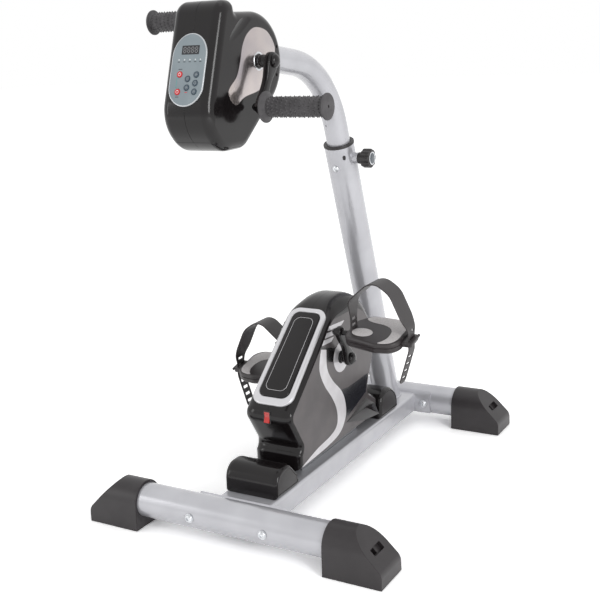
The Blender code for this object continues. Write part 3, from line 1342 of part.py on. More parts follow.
def build_arm_cranks(arm):
    """Axle, hand cranks and grips."""
    start = ARM_HALF_WIDTH + CRANK_RUN + ARM_CRANK_NECK
    out = start + ARM_CRANK_THICKNESS
    end = out + CRANK_CAP_BASE / 2 - FIT_GAP
    part("arm_axle", turned([(-end, ARM_AXLE_RADIUS), (end, ARM_AXLE_RADIUS)], MEDIUM), STEEL, arm)
    spindle_end = out + ARM_SPINDLE_REACH
    sizes = (ARM_CRANK_LENGTH, start, out, ARM_CRANK_NECK, ARM_SPINDLE_RADIUS, spindle_end, ARM_AXLE_RADIUS)
    grip_in = out + GRIP_GAP
    bore = ARM_SPINDLE_RADIUS + FIT_GAP
    disc = grip_in + GRIP_LENGTH - GRIP_DISC
    profile = [
        (spindle_end + FIT_GAP, bore),
        (grip_in, bore),
        (grip_in, GRIP_FLANGE_RADIUS),
        (grip_in + GRIP_FLANGE, GRIP_FLANGE_RADIUS),
        (grip_in + 2 * GRIP_FLANGE, GRIP_RADIUS),
        (disc - GRIP_DISC, GRIP_RADIUS),
        (disc, GRIP_DISC_RADIUS),
        (disc + GRIP_DISC / 2, GRIP_DISC_RADIUS),
        (disc + GRIP_DISC, GRIP_DISC_RADIUS - 0.001),
    ]
    for word, side in (("right", 1), ("left", -1)):
        turn = ARM_CRANK_TURN if side > 0 else ARM_CRANK_TURN - math.pi
        build_crank(arm, "hand_crank_" + word, side, (0.0, 0.0), turn, sizes)
        y = -ARM_CRANK_LENGTH * math.sin(turn)
        z = ARM_CRANK_LENGTH * math.cos(turn)
        solid = turned([(side * x, radius) for x, radius in profile], MEDIUM)
        part("grip_" + word, solid, RUBBER, arm, (0, y, z))


def build_console(console):
    """Panel, push buttons and board."""
    top = FIT_GAP + CONSOLE_THICKNESS
    rim = CONSOLE_SEAT + FIT_GAP
    back = -CONSOLE_DEPTH
    rings = [
        at_z(console_points(CONSOLE_EDGE), top),
        at_z(console_points(0.0), top - CONSOLE_EDGE),
        at_z(console_points(0.0), FIT_GAP),
        at_z(console_points(rim), FIT_GAP),
        at_z(console_points(rim), back),
        at_z(console_points(rim + CONSOLE_RIM), back),
        at_z(console_points(rim + CONSOLE_RIM), FIT_GAP),
    ]
    panel = part("console_panel", loft(rings), CONSOLE_GREY, console)
    board_top = back - FIT_GAP
    board = console_points(rim)
    solid = loft([at_z(board, board_top - BOARD_THICKNESS), at_z(board, board_top)])
    part("console_board", solid, BOARD_GREEN, console)
    flange_top = 0.0
    flange_low = flange_top - BUTTON_FLANGE_THICKNESS
    for name, (x, up) in BUTTON_PLACES.items():
        hole = BUTTON_RADIUS + BUTTON_CLEARANCE
        cutter = turned([(back / 2, hole), (2 * top, hole)], COARSE, at_z)
        cut(panel, name, cutter, console, (x, up, 0))
        radius = BUTTON_RADIUS
        profile = [
            (board_top + BUTTON_STEM_GAP, BUTTON_STEM_RADIUS),
            (flange_low, BUTTON_STEM_RADIUS),
            (flange_low, radius + BUTTON_FLANGE),
            (flange_top, radius + BUTTON_FLANGE),
            (flange_top, radius),
            (top + BUTTON_PROUD - BUTTON_EDGE, radius),
            (top + BUTTON_PROUD, radius - BUTTON_EDGE),
        ]
        finish = BUTTON_RED if x < 0 else BUTTON_BLUE
        part(name, turned(profile, COARSE, at_z), finish, console, (x, up, 0))


def build_arm_unit(post):
    """Everything that the mast carries."""
    y, z, turn = mast_path()[-2]
    lean = Matrix.Rotation(POST_LEAN, 4, "X")
    bend_end = lean @ Vector((0, y, z))
    level = empty("mast_level", (0, 0, 0), -POST_LEAN, post)
    arm = empty("arm_frame", (0, bend_end.y - ARM_REACH, bend_end.z + ARM_RISE), 0.0, level)
    y, z, turn = mast_path()[-1]
    mouth = lean @ Vector((0, y, z)) - arm.location
    neck = empty("neck_frame", mouth, POST_LEAN + turn, arm)
    console = build_arm_housing(arm, neck)
    build_arm_chassis(arm, neck)
    motor = (ARM_MOTOR_Y, ARM_MOTOR_Z)
    build_drive(arm, "arm", (0.0, 0.0), motor, ARM_AXLE_RADIUS, ARM_PULLEY_RADIUS,
                ARM_MOTOR_RADIUS, ARM_MOTOR_LENGTH)
    build_arm_cranks(arm)
    build_console(console)


def build_all():
    """Clears the scene and builds the machine."""
    for item in list(bpy.data.objects):
        bpy.data.objects.remove(item, do_unlink=True)
    stand = empty("stand_frame", (0, FRONT_TUBE_Y, 0))
    build_stand(stand)
    deck = empty("deck_frame", (0, 0, BEAM_TOP), 0.0, stand)
    build_mounts(deck)
    leg = empty("leg_frame", (0, LEG_UNIT_Y, 0), 0.0, deck)
    build_leg_unit(leg)
    top_y = POST_FOOT_Y - POST_LENGTH * math.sin(POST_LEAN)
    top_z = BEAM_TOP + POST_LENGTH * math.cos(POST_LEAN)
    post = empty("post_frame", (0, top_y, top_z), POST_LEAN, stand)
    build_post(stand, post)
    build_bush(post)
    build_clamp(post)
    build_mast(post)
    build_arm_unit(post)


build_all()
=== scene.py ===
import json
import math

import bmesh
import bpy
from mathutils import Matrix, Vector

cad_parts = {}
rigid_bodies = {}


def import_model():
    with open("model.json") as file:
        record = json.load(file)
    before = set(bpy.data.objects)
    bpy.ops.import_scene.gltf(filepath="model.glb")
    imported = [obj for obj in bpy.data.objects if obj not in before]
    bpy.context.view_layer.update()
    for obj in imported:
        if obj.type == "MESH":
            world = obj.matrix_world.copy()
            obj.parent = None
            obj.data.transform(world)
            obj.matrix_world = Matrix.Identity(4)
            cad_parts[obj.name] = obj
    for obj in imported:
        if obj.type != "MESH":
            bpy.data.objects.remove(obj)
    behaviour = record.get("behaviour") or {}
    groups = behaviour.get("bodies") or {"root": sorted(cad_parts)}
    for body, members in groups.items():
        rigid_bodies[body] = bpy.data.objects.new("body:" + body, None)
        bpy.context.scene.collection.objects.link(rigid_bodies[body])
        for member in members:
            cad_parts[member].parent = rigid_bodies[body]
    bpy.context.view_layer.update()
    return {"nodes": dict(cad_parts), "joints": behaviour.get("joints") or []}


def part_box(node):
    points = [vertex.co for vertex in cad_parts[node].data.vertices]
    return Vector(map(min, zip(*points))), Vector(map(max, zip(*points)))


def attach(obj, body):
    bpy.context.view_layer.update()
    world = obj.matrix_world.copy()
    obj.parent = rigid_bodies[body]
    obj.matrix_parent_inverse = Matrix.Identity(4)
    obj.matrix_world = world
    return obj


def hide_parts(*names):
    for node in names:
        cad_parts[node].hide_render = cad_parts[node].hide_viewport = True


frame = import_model()
print("frame loaded,", len(frame["nodes"]), "nodes")

mm = 0.001
jointByName = {joint["name"]: joint for joint in frame["joints"]}
xAxis, yAxis, zAxis = (Vector(axis) for axis in ((1, 0, 0), (0, 1, 0), (0, 0, 1)))
outward = {"right": xAxis, "left": -xAxis}


def pivotOf(joint):
    return Vector(jointByName[joint]["pos_m"])


def middleOf(node):
    low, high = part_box(node)
    return (low + high) / 2


# Local frames: every outline below is in millimetres in one of them.
def localFrame(origin, across, up, out):
    place = Matrix.Identity(4)
    for column, axis in enumerate((across, up, out)):
        for row in range(3):
            place[row][column] = axis[row] * mm
    place.translation = origin
    return place


def sideFrame(y, z, out=xAxis):
    # a side view from the middle plane: Y across, Z up, depth outward
    return localFrame(Vector((0, y, z)), yAxis, zAxis, out)


frontTubeY = middleOf("front_cross_tube").y
rearTubeY = (middleOf("rear_cross_tube").y - frontTubeY) / mm
# from the front tube's axis and the floor, one frame for each side
sides = {word: sideFrame(frontTubeY, 0, out) for word, out in outward.items()}
bodySide = sides["right"]


# Outlines: corner lists hold (u, v, radius), counter-clockwise
def shiftCorners(corners, inset):
    moved = []
    for i, (u, v, radius) in enumerate(corners):
        here = Vector((u, v))
        coming = (here - Vector(corners[i - 1][:2])).normalized()
        going = (Vector(corners[(i + 1) % len(corners)][:2]) - here).normalized()
        inward = Vector((-coming.y, coming.x)) + Vector((-going.y, going.x))
        place = here + inward * inset / (1 + coming.dot(going))
        convex = coming.x * going.y > coming.y * going.x
        bend = max(radius - inset, 0.15) if convex else radius + inset
        moved.append((place.x, place.y, bend))
    return moved


def cornerArc(before, corner, after, radius, turnStep):
    here = Vector(corner)
    back = (Vector(before) - here).normalized()
    ahead = (Vector(after) - here).normalized()
    half = back.angle(ahead) / 2
    centre = here + (back + ahead).normalized() * radius / math.sin(half)
    start = here + back * radius / math.tan(half) - centre
    sweep = math.pi - 2 * half
    # the small margin gives every inset the same count of points
    steps = max(2, math.ceil(sweep / math.radians(turnStep) - 0.01))
    if back.x * ahead.y > back.y * ahead.x:
        sweep = -sweep
    return [tuple(centre + Matrix.Rotation(sweep * i / steps, 2) @ start) for i in range(steps + 1)]


def rounded(corners, inset=0.0, turnStep=7.0):
    moved = shiftCorners(corners, inset)
    points = []
    for i, (u, v, radius) in enumerate(moved):
        after = moved[(i + 1) % len(moved)]
        points += cornerArc(moved[i - 1][:2], (u, v), after[:2], radius, turnStep)
    return points


def roundedPath(corners, turnStep):
    points = [tuple(corners[0][:2])]
    for before, here, after in zip(corners, corners[1:], corners[2:]):
        points += cornerArc(before[:2], here[:2], after[:2], here[2], turnStep)
    return points + [tuple(corners[-1][:2])]


def circle(radius, count=48, middle=(0.0, 0.0)):
    turns = [2 * math.pi * i / count for i in range(count)]
    return [(middle[0] + radius * math.cos(t), middle[1] + radius * math.sin(t)) for t in turns]


def halfTurn(steps, start=0.0):
    return [start + math.pi * i / steps for i in range(steps + 1)]


def box2(halfU, halfV, radius, middle=(0.0, 0.0)):
    u, v = middle
    return [(u - halfU, v - halfV, radius), (u + halfU, v - halfV, radius),
            (u + halfU, v + halfV, radius), (u - halfU, v + halfV, radius)]


def curveThrough(points, closed=False, perSpan=8):
    # Catmull-Rom through the points
    count = len(points)
    result = []
    for i in range(count if closed else count - 1):
        places = [i + k - 1 for k in range(4)]
        if not closed:
            places = [min(max(place, 0), count - 1) for place in places]
        span = [points[place % count] for place in places]
        for j in range(perSpan):
            t = j / perSpan
            result.append(tuple(0.5 * (2 * b + (c - a) * t + (2 * a - 5 * b + 4 * c - d) * t * t
                                       + (3 * b - a - 3 * c + d) * t ** 3) for a, b, c, d in zip(*span)))
    return result if closed else result + [tuple(points[-1])]


def offsetLoop(points, inset):
    # moves a dense closed outline inward, counter-clockwise
    moved = []
    for i, (u, v) in enumerate(points):
        ahead = Vector(points[(i + 1) % len(points)]) - Vector(points[i - 1])
        normal = Vector((-ahead.y, ahead.x)).normalized() if ahead.length > 1e-9 else Vector((0, 0))
        moved.append((u + normal.x * inset, v + normal.y * inset))
    return moved


def counterClockwise(points):
    area = sum(a[0] * b[1] - a[1] * b[0] for a, b in zip(points, points[1:] + points[:1]))
    return points if area > 0 else points[::-1]


def lift(points, w):
    return [Vector((u, v, w)) for u, v in points]


def smoothStep(value, start, reach):
    t = min(max((value - start) / reach, 0.0), 1.0)
    return t * t * (3 - 2 * t)


# Solids: rings of points skinned into closed bodies
def skin(rings, loop=False):
    solid = bmesh.new()
    rows = [[solid.verts.new(point) for point in ring] for ring in rings]
    pairs = list(zip(rows, rows[1:]))
    if loop:
        pairs.append((rows[-1], rows[0]))
    else:
        solid.faces.new(reversed(rows[0]))
        solid.faces.new(rows[-1])
    for near, far in pairs:
        for i, corner in enumerate(near):
            after = (i + 1) % len(near)
            solid.faces.new((corner, near[after], far[after], far[i]))
    bmesh.ops.remove_doubles(solid, verts=solid.verts, dist=0.0005)
    bmesh.ops.dissolve_degenerate(solid, edges=solid.edges, dist=0.0001)
    return solid


def edgeArc(radius, steps, deep=None):
    # (inset, depth) pairs round a quarter circle, or a quarter ellipse, from the top face outward
    turns = [math.pi / 2 * i / steps for i in range(steps + 1)]
    return [(radius * (1 - math.sin(t)), (deep or radius) * (1 - math.cos(t))) for t in turns]


def plate(shape, low, high, topEdge=0.0, lowEdge=0.0, steps=4, deep=None):
    # shape(inset) gives the outline; rounded at the top edge and the low edge
    rings = []
    if lowEdge > 0:
        rings += [lift(shape(inset), low + drop) for inset, drop in edgeArc(lowEdge, steps)]
    else:
        rings.append(lift(shape(0.0), low))
    if topEdge > 0:
        rings += [lift(shape(inset), high - drop) for inset, drop in reversed(edgeArc(topEdge, steps,
                                                                                      deep))]
    else:
        rings.append(lift(shape(0.0), high))
    return skin(rings)


def cornerShape(corners, turnStep):
    return lambda inset: rounded(corners, inset, turnStep)


def cornerPlate(corners, turnStep, *sizes):
    return plate(cornerShape(corners, turnStep), *sizes)


def loopPlate(points, *sizes):
    ordered = counterClockwise(points)
    return plate(lambda inset: offsetLoop(ordered, inset), *sizes)


def frameRing(outside, inside, low, high, edge, steps=3):
    # a frame with two rounded upper edges between two corner lists
    outline, opening = cornerShape(outside, 6.0), cornerShape(inside, 6.0)
    arc = edgeArc(edge, steps)
    outer = [lift(outline(inset), high - drop) for inset, drop in reversed(arc)]
    inner = [lift(opening(-inset), high - drop) for inset, drop in arc]
    return skin([lift(outline(0.0), low)] + outer + inner + [lift(opening(0.0), low)], True)


def turned(profile, count=48, loop=False, middle=(0.0, 0.0)):
    return skin([lift(circle(max(radius, 0.02), count, middle), w) for w, radius in profile], loop)


def rod(low, high, radius, count=32, middle=(0.0, 0.0)):
    return turned([(low, radius), (high, radius)], count, False, middle)


def domeProfile(start, length, radius, steps=7):
    turns = [math.radians(88) * i / steps for i in range(steps + 1)]
    return [(start + length * math.sin(t), radius * math.cos(t)) for t in turns]


def block(low, high):
    corners = [(low[0], low[1]), (high[0], low[1]), (high[0], high[1]), (low[0], high[1])]
    return skin([lift(corners, low[2]), lift(corners, high[2])])


def bevelSharp(solid, width, limit):
    edges = [e for e in solid.edges if e.is_manifold and e.calc_face_angle() > math.radians(limit)]
    bmesh.ops.bevel(solid, geom=edges, offset=width, segments=2, profile=0.5,
                    affect="EDGES", clamp_overlap=True)


def merged(*solids):
    whole = bmesh.new()
    for solid in solids:
        holder = bpy.data.meshes.new("merged")
        solid.to_mesh(holder)
        solid.free()
        whole.from_mesh(holder)
        bpy.data.meshes.remove(holder)
    return whole


def addObject(name, data):
    item = bpy.data.objects.new(name, data)
    bpy.context.scene.collection.objects.link(item)
    return item


def newObject(name, solid, place):
    solid.transform(place)
    solid.normal_update()
    if solid.calc_volume(signed=True) < 0:
        bmesh.ops.reverse_faces(solid, faces=solid.faces)
    mesh = bpy.data.meshes.new(name)
    solid.to_mesh(mesh)
    solid.free()
    return addObject(name, mesh)


def smoothFaces(item, sharp=40.0):
    item.data.shade_smooth()
    item.data.set_sharp_from_angle(angle=math.radians(sharp))


def flatten(item, sharp=40.0):
    # keeps large flat faces flat beside their rounded edges
    smoothFaces(item, sharp)
    modifier = item.modifiers.new("face weights", "WEIGHTED_NORMAL")
    modifier.keep_sharp = True
    modifier.weight = 90


def makePiece(name, solid, place, finish, body, replaces=(), sharp=34.0):
    item = newObject(name, solid, place)
    item.data.materials.append(finish["material"])
    smoothFaces(item, sharp)
    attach(item, body)
    if replaces:
        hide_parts(*replaces)
    return item


def cutPiece(item, solid, place, operation="DIFFERENCE"):
    # cuts or joins once, here, so that nothing depends on a helper later
    helper = newObject("helper", solid, place)
    modifier = item.modifiers.new("cut", "BOOLEAN")
    modifier.operation = operation
    modifier.object = helper
    world = item.matrix_world.copy()
    held = item.parent
    item.parent = None
    item.matrix_world = Matrix.Identity(4)
    bpy.context.view_layer.update()
    ready = item.evaluated_get(bpy.context.evaluated_depsgraph_get())
    result = bpy.data.meshes.new_from_object(ready)
    item.modifiers.clear()
    old = item.data
    item.data = result
    bpy.data.meshes.remove(old)
    bpy.data.objects.remove(helper)
    item.parent = held
    item.matrix_world = world


# Finishes
def hexColour(code):
    parts = [int(code[i:i + 2], 16) / 255 for i in (1, 3, 5)]
    linear = [c / 12.92 if c <= 0.04045 else ((c + 0.055) / 1.055) ** 2.4 for c in parts]
    return (*linear, 1.0)


def addNode(owner, kind, settings=None, links=None):
    tree = owner.node_tree
    node = tree.nodes.new(kind)
    for key, value in (settings or {}).items():
        if isinstance(key, int) or not hasattr(node, key):
            node.inputs[key].default_value = value
        else:
            setattr(node, key, value)
    for key, source in (links or {}).items():
        tree.links.new(node.inputs[key], source)
    return node


def drive(finish, socket, output):
    finish["material"].node_tree.links.new(finish["shader"].inputs[socket], output)


def varyColour(finish, sizeMm, first, second):
    noise = addNode(finish["material"], "ShaderNodeTexNoise", {"Scale": 1 / (sizeMm * mm), "Detail": 2.0},
                    {"Vector": finish["place"]})
    ramp = addNode(finish["material"], "ShaderNodeValToRGB", links={"Fac": noise.outputs[0]})
    for stop, position, colour in zip(ramp.color_ramp.elements, (0.35, 0.65), (first, second)):
        stop.position = position
        stop.color = hexColour(colour)
    drive(finish, "Base Color", ramp.outputs["Color"])


def varyRoughness(finish, sizeMm, low, high):
    noise = addNode(finish["material"], "ShaderNodeTexNoise", {"Scale": 1 / (sizeMm * mm), "Detail": 3.0},
                    {"Vector": finish["place"]})
    spread = addNode(finish["material"], "ShaderNodeMapRange",
                     {"From Min": 0.3, "From Max": 0.7, "To Min": low, "To Max": high},
                     {"Value": noise.outputs[0]})
    drive(finish, "Roughness", spread.outputs["Result"])


def addGrain(finish, sizeMm, depthMm, strength, detail=2.0, stretch=(1.0, 1.0, 1.0)):
    material = finish["material"]
    source = addNode(material, "ShaderNodeMapping", {"Scale": stretch}, {"Vector": finish["place"]})
    noise = addNode(material, "ShaderNodeTexNoise", {"Scale": 1 / (sizeMm * mm), "Detail": detail},
                    {"Vector": source.outputs["Vector"]})
    bump = addNode(material, "ShaderNodeBump", {"Strength": strength, "Distance": depthMm * mm},
                   {"Height": noise.outputs[0]})
    drive(finish, "Normal", bump.outputs["Normal"])


def newFinish(name, slot, colour, roughness, metallic=0.0, ior=1.5, clear=(0.0, 0.05), vary=None,
              grain=None):
    # clear: weight and roughness of a clear coat; vary and grain: sizes in mm of the real pattern
    material = bpy.data.materials.new(name)
    material.use_nodes = True
    shader = material.node_tree.nodes["Principled BSDF"]
    values = {"Base Color": hexColour(colour), "Roughness": roughness, "Metallic": metallic, "IOR": ior,
              "Coat Weight": clear[0], "Coat Roughness": clear[1]}
    for socket, value in values.items():
        shader.inputs[socket].default_value = value
    place = addNode(material, "ShaderNodeTexCoord").outputs["Object"]
    finish = {"material": material, "shader": shader, "place": place, "slot": slot}
    if vary:
        varyColour(finish, *vary)
    if grain:
        addGrain(finish, *grain)
    return finish


def printedInk(name, slot, first, second, roughness, spotMm=3.0, grainMm=0.3):
    # screen-printed ink: faint mottle of the mesh, fine tooth of the film beneath
    return newFinish(name, slot, first, roughness, vary=(spotMm, first, second), grain=(grainMm, 0.01, 0.4))


# powder-coated steel: soft sheen over a fine orange peel, drawn a little coarser than life to show
coat = newFinish("silver powder coat", "silver_paint", "#c3c3c8", 0.27, 0.35, 1.5, (0.3, 0.1),
                 (60, "#bfbfc4", "#c8c8cd"), (1.6, 0.02, 0.5))
# zinc-plated steel: pale, slightly blotchy passivation
zinc = newFinish("zinc plate", "zinc", "#d3d5d8", 0.28, 1.0, vary=(4, "#c6c8cb", "#dddfe2"))
varyRoughness(zinc, 2, 0.22, 0.36)
# cold-rolled steel, left plain inside the housings: fine lines along the roll
steel = newFinish("cold rolled steel", "steel", "#a3a5a8", 0.42, 1.0,
                  grain=(1.0, 0.01, 0.5, 2.0, (1.0, 1.0, 12.0)))
# injection-moulded gloss ABS: near black with a warm cast, mirror-like but faintly wavy
gloss = newFinish("moulded gloss ABS", "gloss_black", "#171415", 0.15, 0.0, 1.41,
                  vary=(90, "#151213", "#1a1718"), grain=(9.0, 0.03, 0.35, 0.0))
# spark-eroded mould skin on ABS: even satin grey-black
satin = newFinish("satin ABS", "matt_black", "#242122", 0.42, grain=(0.9, 0.03, 0.6))
# printed polyester film on the side of the leg unit: warm dark grey, satin, a trace of flake
film = newFinish("printed side film", "gloss_black", "#494445", 0.30, 0.35, 1.5, (0.2, 0.12),
                 (45, "#443f40", "#4f494a"))
# silver ink on the same film
silverInk = newFinish("silver ink", "silver_trim", "#d9d7da", 0.32, 0.3, 1.5, (0.4, 0.12),
                      (30, "#d3d0d3", "#dedcdf"))
# dark blue and black ink on the film, seen as deep gloss panels
navy = printedInk("navy ink", "gloss_black", "#15161d", "#191a22", 0.14, 12)
blackInk = printedInk("black ink", "gloss_black", "#110f10", "#161415", 0.2, 12)
# lacquered silver ABS of the trim frame: bright, fine metallic flake
lacquer = newFinish("silver lacquer", "silver_trim", "#d8d7da", 0.26, 0.45, 1.5, (0.5, 0.08),
                    (0.8, "#d6d5d8", "#dcdbde"))
# vacuum-metallised inlay on the arm unit: warm silver that mirrors softly
foil = newFinish("champagne foil", "silver_trim", "#b9b1b0", 0.24, 0.85, 1.5, (0.4, 0.06),
                 (70, "#aaa3a6", "#c6bcb8"))
# moulded soft rubber of grips: matt, faint dusty bloom
gripSkin = newFinish("moulded grip rubber", "rubber", "#444244", 0.55,
                     vary=(12, "#403e40", "#4f4d4f"), grain=(0.8, 0.04, 0.6))
# toe strap: calendered rubber, satin, darker than the grips
strapSkin = newFinish("strap rubber", "rubber", "#332f30", 0.45, grain=(1.2, 0.04, 0.5))
# hard moulded feet: charcoal with a warm cast and a soft sheen
footSkin = newFinish("hard foot rubber", "foot_rubber", "#2a2628", 0.40,
                     vary=(40, "#272325", "#2e2a2c"), grain=(0.9, 0.05, 0.5))
# glass-filled nylon of the pedals: dull charcoal, fine grain
nylon = newFinish("glass-filled nylon", "matt_black", "#2f2a2b", 0.40, 0.0, 1.53, grain=(0.8, 0.05, 0.6))
# light grey anti-slip inlay in the pedals, finely nubbed
tread = newFinish("grey tread inlay", "silver_trim", "#cfcbcb", 0.5,
                  vary=(3, "#c8c4c4", "#d7d3d3"), grain=(1.1, 0.12, 0.8, 1.0))
# printed polycarbonate membrane: grey-blue, finely textured
membrane = newFinish("printed membrane", "console_grey", "#86939a", 0.33, 0.0, 1.58,
                     vary=(50, "#7f8c93", "#8d999f"), grain=(0.6, 0.02, 0.4))
# pale silver edge of the console, sprayed, with fine flake
bezel = newFinish("bezel paint", "silver_trim", "#c9cccf", 0.28, 0.4, vary=(0.9, "#c3c6c9", "#ced1d4"))
# smoked window over the digits: clear gloss over near black, a little uneven as cast sheet is
smoked = newFinish("smoked window", "console_grey", "#2a2c30", 0.08,
                   vary=(10, "#282a2e", "#2e3034"), grain=(6.0, 0.01, 0.3, 0.0))
# inks of the console: unlit segments, white, dark, pale and teal
segments = printedInk("unlit segments", "silver_trim", "#8b8c8e", "#949597", 0.4)
white = printedInk("white ink", "silver_trim", "#eaecec", "#f2f4f4", 0.4)
dark = printedInk("dark ink", "console_grey", "#2d3338", "#343a3f", 0.4)
paleInk = printedInk("pale ink", "silver_trim", "#b0b8bc", "#b9c1c5", 0.4)
teal = printedInk("teal ink", "console_grey", "#56a5a0", "#5eada8", 0.4)
# embossed keys of the membrane, red and slate blue: the same film, printed from behind
redKey = printedInk("red key", "button_red", "#d21d24", "#dd242b", 0.34, 2.0, 0.6)
blueKey = printedInk("slate key", "button_blue", "#394956", "#40505d", 0.34, 2.0, 0.6)
# plain dark disc in the knob's face, mottled under its lacquer
glossDisc = newFinish("dark disc", "console_grey", "#3a4650", 0.3, 0.0, 1.5, (0.4, 0.08),
                      (2, "#36424c", "#3f4b55"))
# clear red polycarbonate rocker: light that enters it makes it glow a little
redClear = newFinish("red polycarbonate", "button_red", "#d0160c", 0.12, 0.0, 1.58, (0.5, 0.03))
redClear["shader"].inputs["Subsurface Weight"].default_value = 0.25
redClear["shader"].inputs["Subsurface Radius"].default_value = (0.004, 0.001, 0.001)
# lacquered glass-fibre board of the console: mottled green
laminate = newFinish("lacquered board", "board_green", "#1c6b43", 0.4, vary=(6, "#195f3b", "#20774b"))
# near-black ring round the leg axle: painted shade of the deep gap there, much darker than the moulding
# skin itself
recess = printedInk("painted gap shade", "matt_black", "#060505", "#0a0909", 0.8)
print("finishes ready")

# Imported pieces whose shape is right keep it, and take a finish
keptNodes = [
    (coat, list(frame["nodes"])),
    (zinc, ["lock_pin"]),
    (steel, ["leg_chassis", "leg_axle", "leg_motor", "leg_motor_pulley", "arm_chassis", "arm_axle",
             "arm_motor", "arm_motor_pulley"]),
    (satin, ["leg_pulley", "arm_pulley", "power_inlet"]),
    (strapSkin, ["leg_belt", "arm_belt"]),
    (laminate, ["console_board"]),
    (redClear, ["power_switch"]),
]


def dressNodes():
    for finish, names in keptNodes:
        for name in names:
            node = frame["nodes"][name]
            node.data.materials.clear()
            node.data.materials.append(finish["material"])


dressNodes()
print("packed pieces dressed")

# Stand
standSizes = {"tube": 32.0, "tubeWall": 2.0, "beamHalf": 56.0, "beamLow": 26.6, "beamHigh": 69.5,
              "beamCorner": 6.0, "beamWall": 2.5, "saddle": 4.3, "saddleMargin": 15.0, "saddleWrap": 47.0,
              "saddleEnd": 6.0, "boltX": 77.0, "height": 49.2, "fit": 0.3, "bareGap": 0.3, "plateGap": 4.6}


def tubeFrame(y):
    return sideFrame(frontTubeY + y * mm, standSizes["height"] * mm)


def buildTube(name, y, node):
    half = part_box(node)[1].x / mm
    radius = standSizes["tube"]
    inner = radius - standSizes["tubeWall"]
    profile = [(-half, inner), (-half, radius), (half, radius), (half, inner)]
    makePiece(name, turned(profile, 80, True), tubeFrame(y), coat, "stand", [node])


def buildBeam():
    s = standSizes
    corners = box2(s["beamHalf"], (s["beamHigh"] - s["beamLow"]) / 2, s["beamCorner"])
    middle = (s["beamLow"] + s["beamHigh"]) / 2
    start, end = -s["tube"] / 2, -(rearTubeY - s["tube"] / 2)
    rings = [lift(rounded(corners, inset), w)
             for inset, w in ((0.0, start), (0.0, end), (s["beamWall"], end), (s["beamWall"], start))]
    place = localFrame(Vector((0, frontTubeY, middle * mm)), xAxis, zAxis, -yAxis)
    beam = makePiece("beam", skin(rings, True), place, coat, "stand", ["main_beam"])
    reach = s["beamHalf"] * 1.2
    for y in (0.0, rearTubeY):
        cutPiece(beam, rod(-reach, reach, s["tube"] + s["saddle"] + s["fit"], 96), tubeFrame(y))
    flatten(beam, 34)


def buildSaddle(name, y, toward, node):
    # curved steel bracket with rounded ends, welded to the beam
    s = standSizes
    inner, outer = s["tube"] + s["fit"], s["tube"] + s["saddle"]
    wrap, half = math.radians(s["saddleWrap"]), s["boltX"] + s["saddleMargin"]
    ends = [(s["saddleEnd"] * share, 1 - 0.16 * (1 - math.sqrt(1 - (1 - share) ** 2)))
            for share in (0.0, 0.25, 0.6, 1.0)]
    stations = [(x - half, share) for x, share in ends] + [(half - x, share) for x, share in reversed(ends)]
    steps = 18
    rings = []
    for x, share in stations:
        turns = [wrap * share * (2 * i / steps - 1) for i in range(steps + 1)]
        near = [(toward * outer * math.cos(t), outer * math.sin(t)) for t in turns]
        far = [(toward * inner * math.cos(t), inner * math.sin(t)) for t in reversed(turns)]
        rings.append(lift(near + far, x))
    makePiece(name, skin(rings), tubeFrame(y), coat, "stand", [node])


boltSizes = {"washer": 8.5, "washerThick": 1.5, "head": 7.4, "headHigh": 4.2, "socket": 3.4,
             "socketDeep": 2.2, "nut": 6.5, "nutHigh": 6.3, "shank": 4.0}


def buildBolt(name, x, y, frontGap, backGap, node):
    # button-head screw with a hexagon socket, plain washer and nut; the head faces the user
    b = boltSizes
    centre = Vector((x * mm, frontTubeY + y * mm, standSizes["height"] * mm))
    place = localFrame(centre, xAxis, zAxis, -yAxis)
    seat, tail = standSizes["tube"] + frontGap, standSizes["tube"] + backGap
    top = seat + b["washerThick"]
    turns = [math.radians(78) * i / 6 for i in range(7)]
    dome = [(top + b["headHigh"] * math.sin(t), b["head"] * math.cos(t) ** 0.8) for t in turns]
    body = [(-tail, b["shank"]), (seat, b["shank"]), (seat, b["washer"]),
            (seat + b["washerThick"] * 0.8, b["washer"]), (top, b["washer"] - 0.3), (top, b["head"])] + dome
    head = makePiece(name, turned(body), place, zinc, "stand", [node], 30)
    socketTop = dome[-1][0]
    cutPiece(head, rod(socketTop - b["socketDeep"], socketTop + 3, b["socket"], 6), place)
    smoothFaces(head, 30)
    nut = rod(-tail - b["nutHigh"], -tail, b["nut"] / math.cos(math.pi / 6), 6)
    bevelSharp(nut, 0.5, 40)
    makePiece(name + "_nut", nut, place, zinc, "stand")


footSizes = {"length": 111.0, "width": 78.5, "top": 37.2, "slopeStart": 52.0, "lip": 27.3,
             "noseRadius": 20.0, "seat": 48.3, "edge": 1.4, "pocket": (14.0, 35.0, 7.0),
             "pocketPlace": 0.57, "wellDeep": 9.0}


